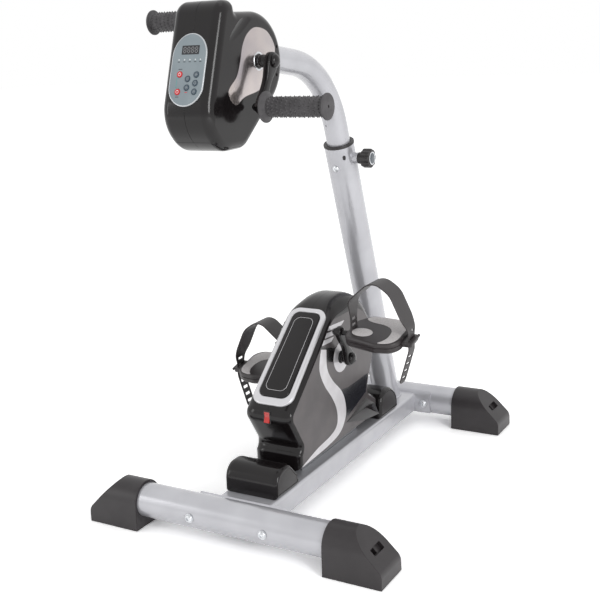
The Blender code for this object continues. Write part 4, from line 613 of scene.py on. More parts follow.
def buildFoot(end, word, y):
    f = footSizes
    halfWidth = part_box(end + "_foot_right")[1].x / mm
    inner = halfWidth - f["length"]
    place = sideFrame(frontTubeY + y * mm, 0, outward[word])
    height = standSizes["height"]
    arch = [(-f["width"] / 2, 0.0), (f["width"] / 2, 0.0)]
    arch += [(f["top"] * math.cos(t), height + f["top"] * math.sin(t)) for t in halfTurn(48)]
    foot = skin([lift(arch, inner), lift(arch, halfWidth)])
    # the slope, then the nose, as planes that trim the arched block
    start = Vector((0, height + f["top"], inner + f["slopeStart"]))
    lip = Vector((0, f["lip"], halfWidth))
    fall = (lip - start).normalized()
    fallTurn = math.atan2(-fall.y, fall.z)
    reach = f["noseRadius"] * math.tan((math.pi / 2 - fallTurn) / 2)
    noseMiddle = Vector((0, f["lip"] - reach, halfWidth - f["noseRadius"]))
    slopeOut = Vector((0, fall.z, -fall.y))
    planes = [(start, slopeOut)]
    for i in range(1, 5):
        turn = fallTurn + (math.pi / 2 - fallTurn) * i / 5
        normal = Vector((0, math.cos(turn), math.sin(turn)))
        planes.append((noseMiddle + normal * f["noseRadius"], normal))
    for point, normal in planes:
        geometry = foot.verts[:] + foot.edges[:] + foot.faces[:]
        bmesh.ops.bisect_plane(foot, geom=geometry, plane_co=point, plane_no=normal, clear_outer=True)
        bmesh.ops.holes_fill(foot, edges=foot.edges)
    bevelSharp(foot, f["edge"], 24)
    item = makePiece(end + "_boot_" + word, foot, place, footSkin, "stand", [end + "_foot_" + word], 30)
    bore = rod(inner - 5, inner + f["seat"], standSizes["tube"] + standSizes["fit"], 80)
    bore.transform(Matrix.Translation((0, height, 0)))
    cutPiece(item, bore, place)
    middle = start.lerp(lip, f["pocketPlace"])
    slope = place @ Matrix(((0, 1, 0, 0), (fall.y, 0, slopeOut.y, middle.y),
                            (fall.z, 0, slopeOut.z, middle.z), (0, 0, 0, 1)))
    along, wide, deep = f["pocket"]
    cutPiece(item, cornerPlate(box2(along / 2, wide / 2, 1.6), 7.0, -deep, 6), slope)
    well = box2(along / 2 - 1.5, wide / 4, 1.2, (0, -outward[word].x * wide / 5))
    cutPiece(item, cornerPlate(well, 7.0, -deep - f["wellDeep"], -deep + 1), slope)
    flatten(item, 30)


def buildStand():
    bare, plated = standSizes["bareGap"], standSizes["plateGap"]
    buildBeam()
    for end, y, toward, gaps in (("front", 0.0, 1, (bare, plated)),
                                 ("rear", rearTubeY, -1, (plated, bare))):
        buildTube(end + "_tube", y, end + "_cross_tube")
        buildSaddle(end + "_saddle", y, toward, "bracket_" + end)
        for word, out in outward.items():
            buildBolt(f"{end}_screw_{word}", out.x * standSizes["boltX"], y, *gaps, f"{end}_bolt_{word}")
            buildFoot(end, word, y)


buildStand()
print("stand built")

# Leg unit
legSizes = {"half": 50.0, "edge": 12.0, "edgeDeep": 23.0, "crown": 27.0, "crownDeep": 37.0,
            "crownAlong": (285.0, 60.0), "crownUp": (262.0, 75.0), "wall": 2.6, "seam": 0.15,
            "axleBore": 8.3, "switchSlot": (5.8, 10.8), "switchSeat": 7.2, "film": 0.16, "filmDeep": 2.0,
            "discRadius": 30.5}
# side outline: along the floor, height, corner radius
legCorners = [(150.0, 83.0, 3.0), (483.5, 83.0, 3.0), (483.5, 126.0, 8.0), (442.0, 152.0, 12.0),
              (475.0, 218.0, 25.0), (472.0, 373.0, 95.0), (322.7, 373.0, 125.0), (117.0, 200.5, 22.0),
              (162.0, 128.0, 13.0), (149.7, 118.0, 12.0)]


def seenFromSide(point):
    return ((point.y - frontTubeY) / mm, point.z / mm)


axlePlace = seenFromSide(pivotOf("leg_crank_spin"))
switchPivot = pivotOf("switch_rock")


def legShellRings():
    # the rounded edge grows wider and deeper over the crown
    s = legSizes
    base = rounded(legCorners, 0.0, 5.0)
    shares = [smoothStep(u, *s["crownAlong"]) * smoothStep(v, *s["crownUp"]) for u, v in base]
    rings = [lift(base, s["seam"])]
    for inset, drop in reversed(edgeArc(1.0, 9)):
        narrow = rounded(legCorners, inset * s["edge"], 5.0)
        wide = rounded(legCorners, inset * s["crown"], 5.0)
        ring = []
        for share, near, far in zip(shares, narrow, wide):
            u, v = Vector(near).lerp(Vector(far), share)
            deep = s["edgeDeep"] + (s["crownDeep"] - s["edgeDeep"]) * share
            ring.append(Vector((u, v, s["half"] - deep * drop)))
        rings.append(ring)
    return rings


def buildLegShell():
    s = legSizes
    wall = s["wall"]
    inner = cornerShape(legCorners, 10.0)
    y, z = seenFromSide(switchPivot)
    wide, tall = s["switchSlot"]
    low, high = (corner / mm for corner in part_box("power_inlet"))
    inlet = ((450.0, low.z + 2.7, low.x + 2.7), (482.0, high.z - 2.7, high.x - 2.7))
    for word, place in sides.items():
        shell = makePiece("leg_shell_" + word, skin(legShellRings()), place, gloss, "stand",
                          ["leg_housing_" + word])
        cavity = plate(lambda inset: inner(inset + wall), -2.0, s["half"] - wall, s["crown"] - wall, 0.0, 5,
                       s["crownDeep"] - wall)
        cutters = [cavity, rod(40.0, 60.0, s["axleBore"], 40, axlePlace),
                   block((y - 20.0, z - tall, -2.0), (y + 5.0, z + tall, wide))]
        if word == "right":
            cutters.append(block(*inlet))
        for cutter in cutters:
            cutPiece(shell, cutter, place)
        flatten(shell)


# printed sides, in the side view; each layer lies a little further out
fieldCorners = [(163.0, 91.0, 5.0), (473.0, 91.0, 4.0), (473.0, 120.5, 5.0), (428.5, 148.5, 23.0),
                (463.5, 221.0, 14.0), (461.0, 341.0, 84.0), (300.9, 341.0, 24.0), (130.7, 198.3, 14.0),
                (173.0, 128.0, 20.0), (163.0, 112.0, 4.0)]
stripeLeft = [(250.0, 295.7), (240.2, 259.0), (255.2, 223.4), (286.3, 184.6), (302.3, 153.6),
              (299.9, 125.4), (273.3, 112.8), (216.8, 105.7), (157.0, 92.5)]
stripeRight = [(270.5, 289.6), (270.3, 252.5), (289.6, 221.5), (324.8, 187.7), (338.9, 156.8),
               (336.5, 128.5), (311.3, 104.9), (259.4, 95.6), (164.0, 91.6)]
bars = [[(278.4, 324.0), (286.7, 331.7), (348.5, 328.0), (334.7, 321.0)],
        [(266.4, 312.4), (275.6, 321.0), (322.0, 317.2), (312.9, 309.8)],
        [(253.9, 301.2), (262.7, 310.2), (302.3, 306.7), (291.6, 299.6)]]
stripeBreak = [(247.0, 297.8), (249.5, 300.6), (284.0, 289.6), (276.0, 288.4)]
darkPanel = [(271.5, 293.0), (302.8, 283.7), (295.4, 258.0), (269.1, 264.0)]
navyPanel = [(322.0, 190.5), (352.0, 186.5), (400.0, 187.5), (441.8, 188.8), (429.3, 151.5), (380.0, 136.0),
             (336.4, 124.0), (338.0, 156.0)]


def buildLegFilm():
    s = legSizes
    base, thin = s["half"], s["film"]
    first, second = base + thin, base + 2 * thin
    bore, disc = s["axleBore"] + 1.5, s["discRadius"]
    discRows = [(base, bore), (base, disc), (second + 0.3, disc), (second + 0.6, disc - 0.4),
                (second + 0.6, bore)]
    shadeCollarRows = [(base, 8.4), (base, 13.0), (base + 0.9, 13.0), (base + 1.4, 12.4), (base + 1.4, 8.4)]
    stripe = curveThrough(stripeLeft) + curveThrough(stripeRight)[::-1]

    def printed(points, radius, top):
        return cornerPlate([(u, v, radius) for u, v in points][::-1], 20, base, top)

    for word, place in sides.items():
        layers = {
            "side_field_": (film, cornerPlate(fieldCorners, 5.0, base - s["filmDeep"], first, 0.1, 0, 1)),
            "side_stripe_": (silverInk, loopPlate(stripe, base, second, 0.1, 0, 1)),
            "side_panel_": (navy, printed(navyPanel, 1.0, first + 0.1)),
            "side_window_": (blackInk, printed(darkPanel, 0.6, first + 0.1)),
            "side_break_": (blackInk, printed(stripeBreak, 0.4, base + 2.7 * thin)),
            "side_bars_": (silverInk, merged(*[printed(bar, 0.7, second) for bar in bars])),
            "axle_disc_": (silverInk, turned(discRows, 72, True, axlePlace)),
            # the near-black collar round the axle is painted shade of the gap there
            "axle_shade_collar_": (recess, turned(shadeCollarRows, 48, True, axlePlace)),
        }
        for name, (finish, solid) in layers.items():
            makePiece(name + word, solid, place, finish, "stand")


# low wedge that leads the side out to the rear mount
wingPoints = {"tip": (337.0, 116.0, 50.3), "apex": (428.4, 139.2, 50.3), "fold": (421.0, 121.0, 53.6),
              "shoulder": (460.3, 116.5, 54.6), "heel": (479.0, 86.0, 55.4), "foot": (424.0, 91.5, 51.6)}
wingSizes = {"low": 43.0, "edge": 0.7}


def buildWing():
    rim = ["tip", "foot", "heel", "shoulder", "apex"]
    for word, place in sides.items():
        solid = bmesh.new()
        top = {name: solid.verts.new(point) for name, point in wingPoints.items()}
        low = {name: solid.verts.new((*wingPoints[name][:2], wingSizes["low"])) for name in rim}
        for corners in (("tip", "fold", "apex"), ("apex", "fold", "shoulder"), ("tip", "foot", "fold"),
                        ("fold", "foot", "heel"), ("fold", "heel", "shoulder")):
            solid.faces.new([top[name] for name in corners])
        for name, after in zip(rim, rim[1:] + rim[:1]):
            solid.faces.new((low[name], low[after], top[after], top[name]))
        solid.faces.new([low[name] for name in reversed(rim)])
        bmesh.ops.recalc_face_normals(solid, faces=solid.faces)
        bevelSharp(solid, wingSizes["edge"], 3)
        makePiece("rear_wing_" + word, solid, place, gloss, "stand", (), 60)


trimSizes = {"noseRadius": 22.0, "start": 5.0, "length": 220.0, "half": (43.0, 40.5), "corner": 23.0,
             "bar": 10.5, "foot": 17.0, "skirt": 4.5, "high": 3.6, "plateHigh": 4.6, "lineInset": 9.5,
             "lineWide": 0.7}


def slopeFrame(side, start, along):
    # on a sloping line of a side view: X across, the line up, and out of the solid
    return localFrame(side @ Vector((start.x, start.y, 0)), xAxis, Vector((0, along.x, along.y)),
                      Vector((0, -along.y, along.x)))


def trimFrame():
    # on the slope between brow and nose, from where the nose's curve ends
    nose, brow, throat = (Vector(legCorners[i][:2]) for i in (7, 6, 8))
    along = (brow - nose).normalized()
    half = along.angle(throat - nose) / 2
    return slopeFrame(bodySide, nose + along * trimSizes["noseRadius"] / math.tan(half), along)


def buildTrim():
    s = trimSizes
    place = trimFrame()
    low, high = s["start"], s["start"] + s["length"]
    wide, narrow = s["half"]
    corner, bar = s["corner"], s["bar"]
    corners = [(-wide, low, corner), (wide, low, corner), (narrow, high, corner), (-narrow, high, corner)]
    corner -= 8.0
    opening = [(-wide + bar, low + s["foot"], corner), (wide - bar, low + s["foot"], corner),
               (narrow - bar, high - bar, corner), (bar - narrow, high - bar, corner)]
    ring = frameRing(corners, opening, -s["skirt"], s["high"], 3.0, 4)
    makePiece("trim_frame", ring, place, lacquer, "stand", ["leg_trim_frame"])
    panel = cornerPlate(shiftCorners(opening, 0.3), 5.0, -0.5, s["plateHigh"], 2.2, 0, 4)
    makePiece("top_panel", panel, place, gloss, "stand", ["leg_top_plate"])
    top = s["plateHigh"]
    line = [(u, v - 4.0 if v > 100 else v + 4.0, 13.0)
            for u, v, radius in shiftCorners(opening, s["lineInset"])]
    thin = frameRing(line, shiftCorners(line, s["lineWide"]), top - 0.3, top + 0.15, 0.1, 1)
    makePiece("top_panel_line", thin, place, silverInk, "stand")


def buildRocker():
    modifier = frame["nodes"]["power_switch"].modifiers.new("soft edges", "BEVEL")
    modifier.width = 0.7 * mm
    modifier.segments = 3
    wide, high = legSizes["switchSlot"]
    seat = legSizes["switchSeat"]
    rim = frameRing(box2(wide + 2.0, high + 1.8, 2.6), box2(wide, high, 0.8), seat - 6.5, seat + 0.3, 0.8)
    makePiece("switch_rim", rim, localFrame(switchPivot, xAxis, zAxis, -yAxis), satin, "stand")


mountSizes = {"half": 56.0, "base": 69.8, "edge": 6.0, "edgeDeep": 11.0, "recessInset": 7.0,
              "recessDeep": 1.2}
mountCorners = {
    "front": [(54.6, 0.0, 1.5), (138.9, 0.0, 1.5), (134.0, 22.5, 24.0), (107.0, 52.5, 24.0),
              (57.0, 52.5, 30.0)],
    "rear": [(483.9, 0.0, 1.5), (571.0, 0.0, 1.5), (570.0, 32.0, 44.0), (540.0, 59.0, 44.0),
             (486.0, 59.0, 30.0)],
}


def buildMount(end):
    s = mountSizes
    outline = [(u, v + s["base"], radius) for u, v, radius in mountCorners[end]]
    shape = cornerShape(outline, 6.0)
    edge = edgeArc(s["edge"], 6, s["edgeDeep"])
    body = skin([lift(shape(inset), drop - s["half"]) for inset, drop in edge]
                + [lift(shape(inset), s["half"] - drop) for inset, drop in reversed(edge)])
    mount = makePiece(end + "_mount", body, bodySide, gloss, "stand", [f"leg_{end}_mount"])
    floor = s["half"] - s["recessDeep"]
    for word, place in sides.items():
        hollow, lining = (shiftCorners(outline, s["recessInset"] + gap) for gap in (0.0, 0.3))
        cutPiece(mount, cornerPlate(hollow, 8.0, floor, s["half"] + 3.0), place)
        panel = cornerPlate(lining, 8.0, floor, s["half"] - 0.3, 0.5, 0, 2)
        makePiece(f"{end}_mount_face_{word}", panel, place, satin, "stand")
    flatten(mount)


buildLegShell()
buildLegFilm()
buildWing()
buildTrim()
buildRocker()
buildMount("front")
buildMount("rear")
print("leg unit built")

# Cranks, the same form at legs and arms
crankSizes = {"hub": 14.5, "end": 11.5, "waist": 7.2, "neck": 10.5, "cap": 11.2, "capBase": 1.5,
              "capHigh": 6.5, "nut": 7.5, "nutLong": 10.0, "edge": 3.2, "thick": 12.0, "gap": 3.0,
              "spindle": 5.0}


def buildCrank(word, kind, unit, pin, half, neck, reach, bore):
    c = crankSizes
    axle, pivot = pivotOf(unit + "_crank_spin"), pivotOf(pin + "_spin")
    along = Vector((0, pivot.y - axle.y, pivot.z - axle.z))
    length = along.length / mm
    along.normalize()
    out = outward[word]
    place = localFrame(Vector((0, axle.y, axle.z)), along.cross(out), along, out)
    start = half + c["gap"] + neck
    end = start + c["thick"]
    flank = []
    for share in (i / 20 for i in range(1, 20)):
        upper = math.cos(math.pi / 2 * min(share / 0.5, 1)) ** 2
        lower = math.sin(math.pi / 2 * max((share - 0.5) / 0.5, 0)) ** 2
        width = c["waist"] + (c["hub"] - c["waist"]) * upper + (c["end"] - c["waist"]) * lower
        flank.append((width, length * share))
    outline = [(c["hub"] * math.cos(t), c["hub"] * math.sin(t)) for t in halfTurn(16, math.pi)] + flank
    outline += [(c["end"] * math.cos(t), length + c["end"] * math.sin(t)) for t in halfTurn(16)]
    outline += [(-u, v) for u, v in reversed(flank)]
    arm = loopPlate(outline, start, end, c["edge"], c["edge"], 5)
    waist = c["neck"] - 1.6
    hub = turned([(start + 2, bore), (start - neck, bore), (start - neck, c["neck"] - 1.2),
                  (start - neck + 1.2, c["neck"]), (start - neck * 0.45, c["neck"]),
                  (start - neck * 0.3, waist), (start + 1, waist), (start + 2, waist)])
    cap = turned([(end - 1, c["cap"])] + domeProfile(end + c["capBase"], c["capHigh"], c["cap"]))
    ball = [(start - w, r) for w, r in reversed(domeProfile(0.0, c["nutLong"], c["nut"]))]
    nut = turned(ball + [(start + 1, c["nut"])], 40, False, (0.0, length))
    spindle = rod(end - 1, reach, c["spindle"], 24, (0.0, length))
    makePiece(f"{kind}_arm_{word}", merged(arm, hub, cap, nut, spindle), place, gloss, unit + "_crankset",
              [f"{kind}_crank_{word}"], 40)


pedalSizes = {"inner": 87.0, "outer": 203.0, "top": 7.5, "tilt": 13.0, "spindleEnd": 191.0, "bore": 5.3}
pedalCorners = [(87.0, -24.6, 18.0), (157.8, -41.0, 28.0), (203.0, -35.3, 28.0), (203.0, 57.6, 28.0),
                (110.2, 64.0, 22.0), (87.0, 38.4, 18.0)]
# sides of the deck from its sole up: inset and height, with a groove under the rim
pedalLevels = [(5.0, -14.0), (2.0, -12.8), (0.6, -10.5), (0.2, -8.0), (0.2, -2.6), (1.4, -2.0),
               (1.4, -1.2), (0.0, -0.4), (0.0, 3.0), (0.5, 5.2), (1.6, 6.7), (3.4, 7.4), (5.0, 7.5)]
lugCorners = [(190.0, -13.0, 2.0), (222.6, -13.0, 5.0), (222.6, 24.0, 5.0), (190.0, 24.0, 2.0)]
crescent = [(106.0, 49.0), (113.0, 57.0), (128.0, 59.0), (148.0, 59.0), (172.0, 56.0), (190.0, 46.0),
            (197.5, 28.0), (198.0, 5.0), (197.0, -15.0), (190.0, -29.0), (178.0, -35.0), (165.0, -35.5),
            (171.0, -27.0), (176.0, -12.0), (174.5, 8.0), (166.0, 22.0), (149.0, 31.5), (130.0, 35.5),
            (115.0, 40.5)]
ovalSizes = {"half": (22.0, 14.5), "middle": (118.5, -3.0), "tilt": -8.0}
strapSizes = {"middle": 5.5, "halfWide": 26.0, "halfNarrow": 13.2, "thick": 2.4, "halfSlot": (8.6, 3.0),
              "widening": (20, 60), "narrowing": (92, 48), "tip": 7.0, "foreSlots": (24.0, 12.0),
              "tailSlots": (12.0, 27.0, 42.0, 57.0, 92.0, 107.0)}
# line of the strap across the pedal: out from the machine, up from the spindle, bend radius
strapCorners = [(96.0, 6.0, 0), (96.0, 68.0, 18.0), (148.0, 112.0, 28.0), (184.0, 88.0, 42.0),
                (215.0, 22.0, 30.0), (215.0, -20.0, 20.0), (194.0, -87.0, 0)]


def alongPath(path, distance):
    for a, b in zip(path, path[1:]):
        step = math.dist(a, b)
        if distance <= step:
            way = (Vector(b) - Vector(a)) / step
            return Vector(a) + way * distance, way
        distance -= step
    return Vector(path[-1]), (Vector(path[-1]) - Vector(path[-2])).normalized()


def buildStrap(word, place, body):
    s = strapSizes
    path = roundedPath(strapCorners, 4.0)
    total = sum(math.dist(a, b) for a, b in zip(path, path[1:]))
    rings = []
    for i in range(91):
        distance = total * i / 90
        left = total - distance
        point = alongPath(path, distance)[0]
        around = [min(max(distance + step, 0), total) for step in (-4, 4)]
        behind, ahead = (alongPath(path, place)[0] for place in around)
        way = (ahead - behind).normalized()
        blend = smoothStep(distance, *s["widening"]) * smoothStep(left, *s["narrowing"])
        half = s["halfNarrow"] + (s["halfWide"] - s["halfNarrow"]) * blend
        if left < s["tip"]:
            half *= 0.6 + 0.4 * math.sqrt(max(0.0, 1 - (1 - left / s["tip"]) ** 2))
        thick = s["thick"] / 2
        section = [(-half, -thick * 0.4), (-half + 0.8, -thick), (half - 0.8, -thick), (half, -thick * 0.4),
                   (half, thick * 0.4), (half - 0.8, thick), (-half + 0.8, thick), (-half, thick * 0.4)]
        rings.append([Vector((point.x - way.y * t, s["middle"] + w, point.y + way.x * t))
                      for w, t in section])
    strap = makePiece("strap_" + word, skin(rings), place, strapSkin, body, ["pedal_strap_" + word], 40)
    across, up = s["halfSlot"]
    for distance in [*s["foreSlots"], *(total - back for back in s["tailSlots"])]:
        point, way = alongPath(path, distance)
        inner = Matrix(((way.x, 0, -way.y, point.x), (0, 1, 0, s["middle"]),
                        (way.y, 0, way.x, point.y), (0, 0, 0, 1)))
        cutPiece(strap, cornerPlate(box2(up, across, 0.8), 7.0, -4.0, 4.0), place @ inner)
    smoothFaces(strap)


def buildPedal(word):
    p, middle = pedalSizes, strapSizes["middle"]
    body = word + "_pedal"
    pivot = pivotOf(body + "_spin")
    out = outward[word]
    tilt = math.radians(p["tilt"])
    centre = Vector((0, pivot.y, pivot.z))
    place = localFrame(centre, out, Vector((0, math.cos(tilt), math.sin(tilt))),
                       Vector((0, -math.sin(tilt), math.cos(tilt))))
    level = localFrame(centre, out, yAxis, zAxis)
    shape = cornerShape(pedalCorners, 6.0)
    solid = skin([lift(shape(inset), z) for inset, z in pedalLevels])
    deck = makePiece("pedal_deck_" + word, solid, place, nylon, body, ["pedal_" + word], 40)
    cutPiece(deck, cornerPlate(lugCorners, 10.0, -9.5, 1.0, 2.5, 2.5, 3), place, "UNION")
    half, wide = strapSizes["thick"] / 2 + 0.35, strapSizes["halfNarrow"] + 0.3
    for x, floor in ((p["inner"] + 9.0, p["top"] - 1.8), (p["outer"] + 12.0, -20.0)):
        cutPiece(deck, block((x - half, middle - wide, floor), (x + half, middle + wide, 30.0)), level)
    cutPiece(deck, rod(80.0, p["spindleEnd"] + 0.3, p["bore"]), sideFrame(pivot.y, pivot.z, out))
    flatten(deck)
    loop = cornerPlate(box2(2.4, 20.5, 2.3, (222.6, middle)), 20.0, -3.5, 1.2, 1.6, 1.6, 3)
    makePiece("strap_bar_" + word, loop, place, nylon, body)
    u, v = ovalSizes["half"]
    turn = Matrix.Rotation(math.radians(ovalSizes["tilt"]), 2)
    oval = [tuple(Vector(ovalSizes["middle"]) + turn @ Vector((a * u, b * v))) for a, b in circle(1.0, 40)]
    for name, points in (("tread_oval_", oval), ("tread_crescent_", curveThrough(crescent, True, 5))):
        makePiece(name + word, loopPlate(points, 7.0, 8.1, 0.6, 0, 3), place, tread, body)
    buildStrap(word, level, body)


for word in outward:
    buildCrank(word, "leg", "leg", word + "_pedal", legSizes["half"], 9.0, pedalSizes["spindleEnd"], 8.2)
    buildPedal(word)
print("cranks and pedals built")

# Post, bush, clamp and mast
mastSizes = {"radius": 23.5, "wall": 2.0, "insert": 230.0, "rise": 37.1, "bend": 190.0, "bendTurn": 64.7,
             "neck": 137.0, "hole": 1.7, "holeRise": 48.0, "holeTurn": -20.0}
postSizes = {"radius": 30.0, "wall": 2.0, "length": 617.8, "lean": 17.1, "top": (448.7, 660.0),
             "clampDrop": 29.3, "boss": 11.0, "bossEnd": 40.0, "pinBore": 4.3, "screwDrop": 40.0,
             "screwBore": 2.8, "slot": (3.25, 5.0, 3.2), "slotDrop": 19.4, "slotTurn": 40.0}
leanTurn = math.radians(postSizes["lean"])
postUp = Vector((0, -math.sin(leanTurn), math.cos(leanTurn)))
postBack = Vector((0, math.cos(leanTurn), math.sin(leanTurn)))
postTop = Vector((0, frontTubeY + postSizes["top"][0] * mm, postSizes["top"][1] * mm))
postPlace = localFrame(postTop, xAxis, postBack, postUp)


def postFrame(drop, turn):
    # looks out of the post, turn degrees round from its front towards the right
    t = math.radians(turn)
    out = -postBack * math.cos(t) + xAxis * math.sin(t)
    return localFrame(postTop - postUp * drop * mm, postUp.cross(out), postUp, out)


def buildPost():
    s = postSizes
    radius, reach = s["radius"], s["radius"] + 6.0
    foot, inner = -(s["length"] + 40.0), radius - s["wall"]
    profile = [(foot, inner), (foot, radius), (-0.6, radius), (0.0, radius - 0.6), (0.0, inner)]
    post = makePiece("post", turned(profile, 96, True), postPlace, coat, "stand", ["upright_post"])
    # the foot is cut off level with the beam
    cutPiece(post, block((500.0, -40.0, -60.0), (760.0, 69.8, 60.0)), bodySide)
    clamp = postFrame(s["clampDrop"], 90.0)
    boss = [(inner + 0.5, s["boss"]), (s["bossEnd"] - 1.0, s["boss"]), (s["bossEnd"], s["boss"] - 1.0)]
    cutPiece(post, turned(boss), clamp, "UNION")
    cutPiece(post, rod(mastSizes["radius"], 60.0, s["pinBore"]), clamp)
    cutPiece(post, cornerPlate(box2(*s["slot"]), 15.0, inner - 3.0, reach),
             postFrame(s["slotDrop"], s["slotTurn"]))
    cutPiece(post, rod(inner - 3.0, reach, s["screwBore"], 24), postFrame(s["screwDrop"], 0.0))
    smoothFaces(post)


weldSizes = {"along": 630.4, "height": 70.2, "gap": 1.0, "bead": 2.2}


def buildWeld():
    # bead round the post where it meets the beam
    w = weldSizes
    bead = []
    for ahead, across in circle(1.0, 72):
        ring = []
        for u, v in circle(w["bead"], 8):
            reach = postSizes["radius"] + w["gap"] + u
            ring.append(Vector((w["along"] + reach * ahead / math.cos(leanTurn), w["height"] + v,
                                reach * across)))
        bead.append(ring)
    makePiece("post_weld", skin(bead, True), bodySide, coat, "stand")


def buildBush():
    s = postSizes
    outer, inner = s["radius"] - s["wall"] - 0.3, mastSizes["radius"] + 0.3
    rim = s["radius"] + 0.9
    profile = [(-60.0, inner), (-60.0, outer), (0.3, outer), (0.3, rim), (3.4, rim), (4.4, rim - 0.5),
               (4.8, rim - 1.6), (4.8, inner + 0.8), (4.2, inner)]
    bush = makePiece("bush", turned(profile, 96, True), postPlace, satin, "stand", ["post_bush"])
    cutPiece(bush, rod(15.0, 40.0, s["pinBore"]), postFrame(s["clampDrop"], 90.0))
    smoothFaces(bush)


def buildPostScrew():
    place = postFrame(postSizes["screwDrop"], 0.0)
    radius = postSizes["radius"]
    seat = radius + 0.3
    head = [(mastSizes["radius"] + 1.5, 2.5), (seat, 2.5), (seat, 6.5)] + domeProfile(seat, 3.0, 6.5)
    screw = makePiece("bush_screw", turned(head, 40), place, zinc, "stand", ["post_screw"], 30)
    # a cross recess, turned a little as a driven screw ends up
    for turn in (20.0, 110.0):
        spin = Matrix.Rotation(math.radians(turn), 4, "Z")
        cutPiece(screw, block((-3.4, -0.55, radius + 1.8), (3.4, 0.55, radius + 6.0)), place @ spin)
    smoothFaces(screw, 30)


knobSizes = {"seat": 40.3, "neck": 11.5, "neckLong": 9.0, "radius": 17.6, "lobe": 1.4, "lobes": 8,
             "end": 69.3, "ring": (10.5, 13.0), "recess": 2.2}


def knobOutline(inset):
    # round flutes between eight broad lobes
    k = knobSizes
    points = []
    for i in range(96):
        t = 2 * math.pi * i / 96
        wave = abs(math.cos(k["lobes"] / 2 * t)) ** 0.6
        radius = k["radius"] - k["lobe"] + 2 * k["lobe"] * wave - inset
        points.append((radius * math.cos(t), radius * math.sin(t)))
    return points


def buildKnob():
    k = knobSizes
    pivot = pivotOf("knob_turn")
    place = sideFrame(pivot.y, pivot.z)
    bore, neck, seat, end = postSizes["pinBore"], k["neck"], k["seat"], k["end"]
    inner, outer = k["ring"]
    shoulder, low = seat + k["neckLong"], end - k["recess"]
    neckRows = ((seat, bore), (seat, neck), (shoulder - 1.5, neck), (shoulder, neck + 1.5))
    faceRows = ((end - 1.0, outer + 0.3), (low, outer + 0.3), (low, bore))
    rings = [lift(circle(radius, 96), w) for w, radius in neckRows]
    rings += [lift(knobOutline(inset), shoulder + drop) for inset, drop in edgeArc(2.5, 4)]
    rings += [lift(knobOutline(inset), end - 1.0 - drop) for inset, drop in reversed(edgeArc(3.0, 5))]
    rings += [lift(circle(radius, 96), w) for w, radius in faceRows]
    makePiece("knob", skin(rings, True), place, satin, "clamp_knob", ["lock_knob"], 40)
    ring = turned([(low, inner), (low, outer), (end - 0.4, outer), (end, outer - 0.6), (end, inner + 0.6),
                   (end - 0.5, inner)], 64, True)
    makePiece("knob_ring", ring, place, zinc, "clamp_knob")
    disc = turned([(low, inner - 0.1), (end - 0.9, inner - 0.1), (end - 0.7, inner - 0.6)], 64)
    makePiece("knob_disc", disc, place, glossDisc, "clamp_knob")


def mastStations():
    # back, up and turn of the tube's middle line, seen from the post's top
    s = mastSizes
    stations = [(0.0, -s["insert"], 0.0)]
    for i in range(33):
        t = math.radians(s["bendTurn"]) * i / 32
        stations.append((-s["bend"] * (1 - math.cos(t)), s["rise"] + s["bend"] * math.sin(t), t))
    y, z, t = stations[-1]
    return stations + [(y - s["neck"] * math.sin(t), z + s["neck"] * math.cos(t), t)]


def mastRing(station, radius):
    y, z, t = station
    return [Vector((u, y + v * math.cos(t), z + v * math.sin(t))) for u, v in circle(radius, 80)]


def mastEndFrame():
    # at the mast's upper end, looking back down the tube
    y, z, t = mastStations()[-1]
    down = Vector((0, math.sin(leanTurn + t), -math.cos(leanTurn + t)))
    return localFrame(postPlace @ Vector((0, y, z)), xAxis, down.cross(xAxis), down)


def buildMast():
    s = mastSizes
    radius, stations = s["radius"], mastStations()
    rings = [mastRing(station, radius) for station in stations]
    rings += [mastRing(station, radius - s["wall"]) for station in reversed(stations)]
    mast = makePiece("mast", skin(rings, True), postPlace, coat, "arm_unit", ["mast_tube"])
    cutPiece(mast, rod(radius - 3.0, radius + 4.0, s["hole"], 24), postFrame(-s["holeRise"], s["holeTurn"]))
    smoothFaces(mast)


buildPost()
buildWeld()
buildBush()
buildPostScrew()
buildKnob()
buildMast()
print("post unit built")

# Arm unit
armSizes = {"half": 47.5, "edge": 18.0, "edgeDeep": 17.0, "rearHalf": 45.8, "rearEdge": 15.0, "wall": 2.5,
            "seam": 0.15, "axleBore": 7.4, "mastBore": 23.9, "hubRing": (12.2, 15.4), "inlay": 0.5,
            "screws": ((60.1, 21.2), (55.2, -25.0)), "screwBore": 2.6}
armCorners = [(-118.0, -136.5, 57.0), (-48.7, -136.5, 36.0), (80.0, -40.0, 79.99), (80.0, 80.0, 79.99),
              (-56.0, 80.0, 4.5), (-60.0, 98.5, 14.0), (-96.0, 98.5, 28.0), (-162.0, -85.6, 60.0)]
armAxle = pivotOf("arm_crank_spin")
armSides = {word: localFrame(armAxle, yAxis, zAxis, out) for word, out in outward.items()}
# where the front cover ends, seen from the side, from the crest down to the chin
coverLine = [(-54.0, 110.0), (-55.0, 86.0), (-64.0, 75.0), (-78.0, 62.0), (-84.0, 36.0), (-95.6, 6.8),
             (-114.0, -36.0), (-130.0, -62.0), (-139.0, -90.0), (-134.0, -118.0), (-120.0, -150.0)]
inlayPoints = [(-4.8, 54.4), (29.2, 47.8), (50.0, 27.2), (51.4, 10.6), (30.0, -18.0), (3.0, -44.2),
               (-48.0, -54.1), (-76.4, -64.7), (-94.1, -42.5), (-67.9, -20.5), (-55.0, 2.7),
               (-46.1, 26.1), (-30.3, 44.6)]
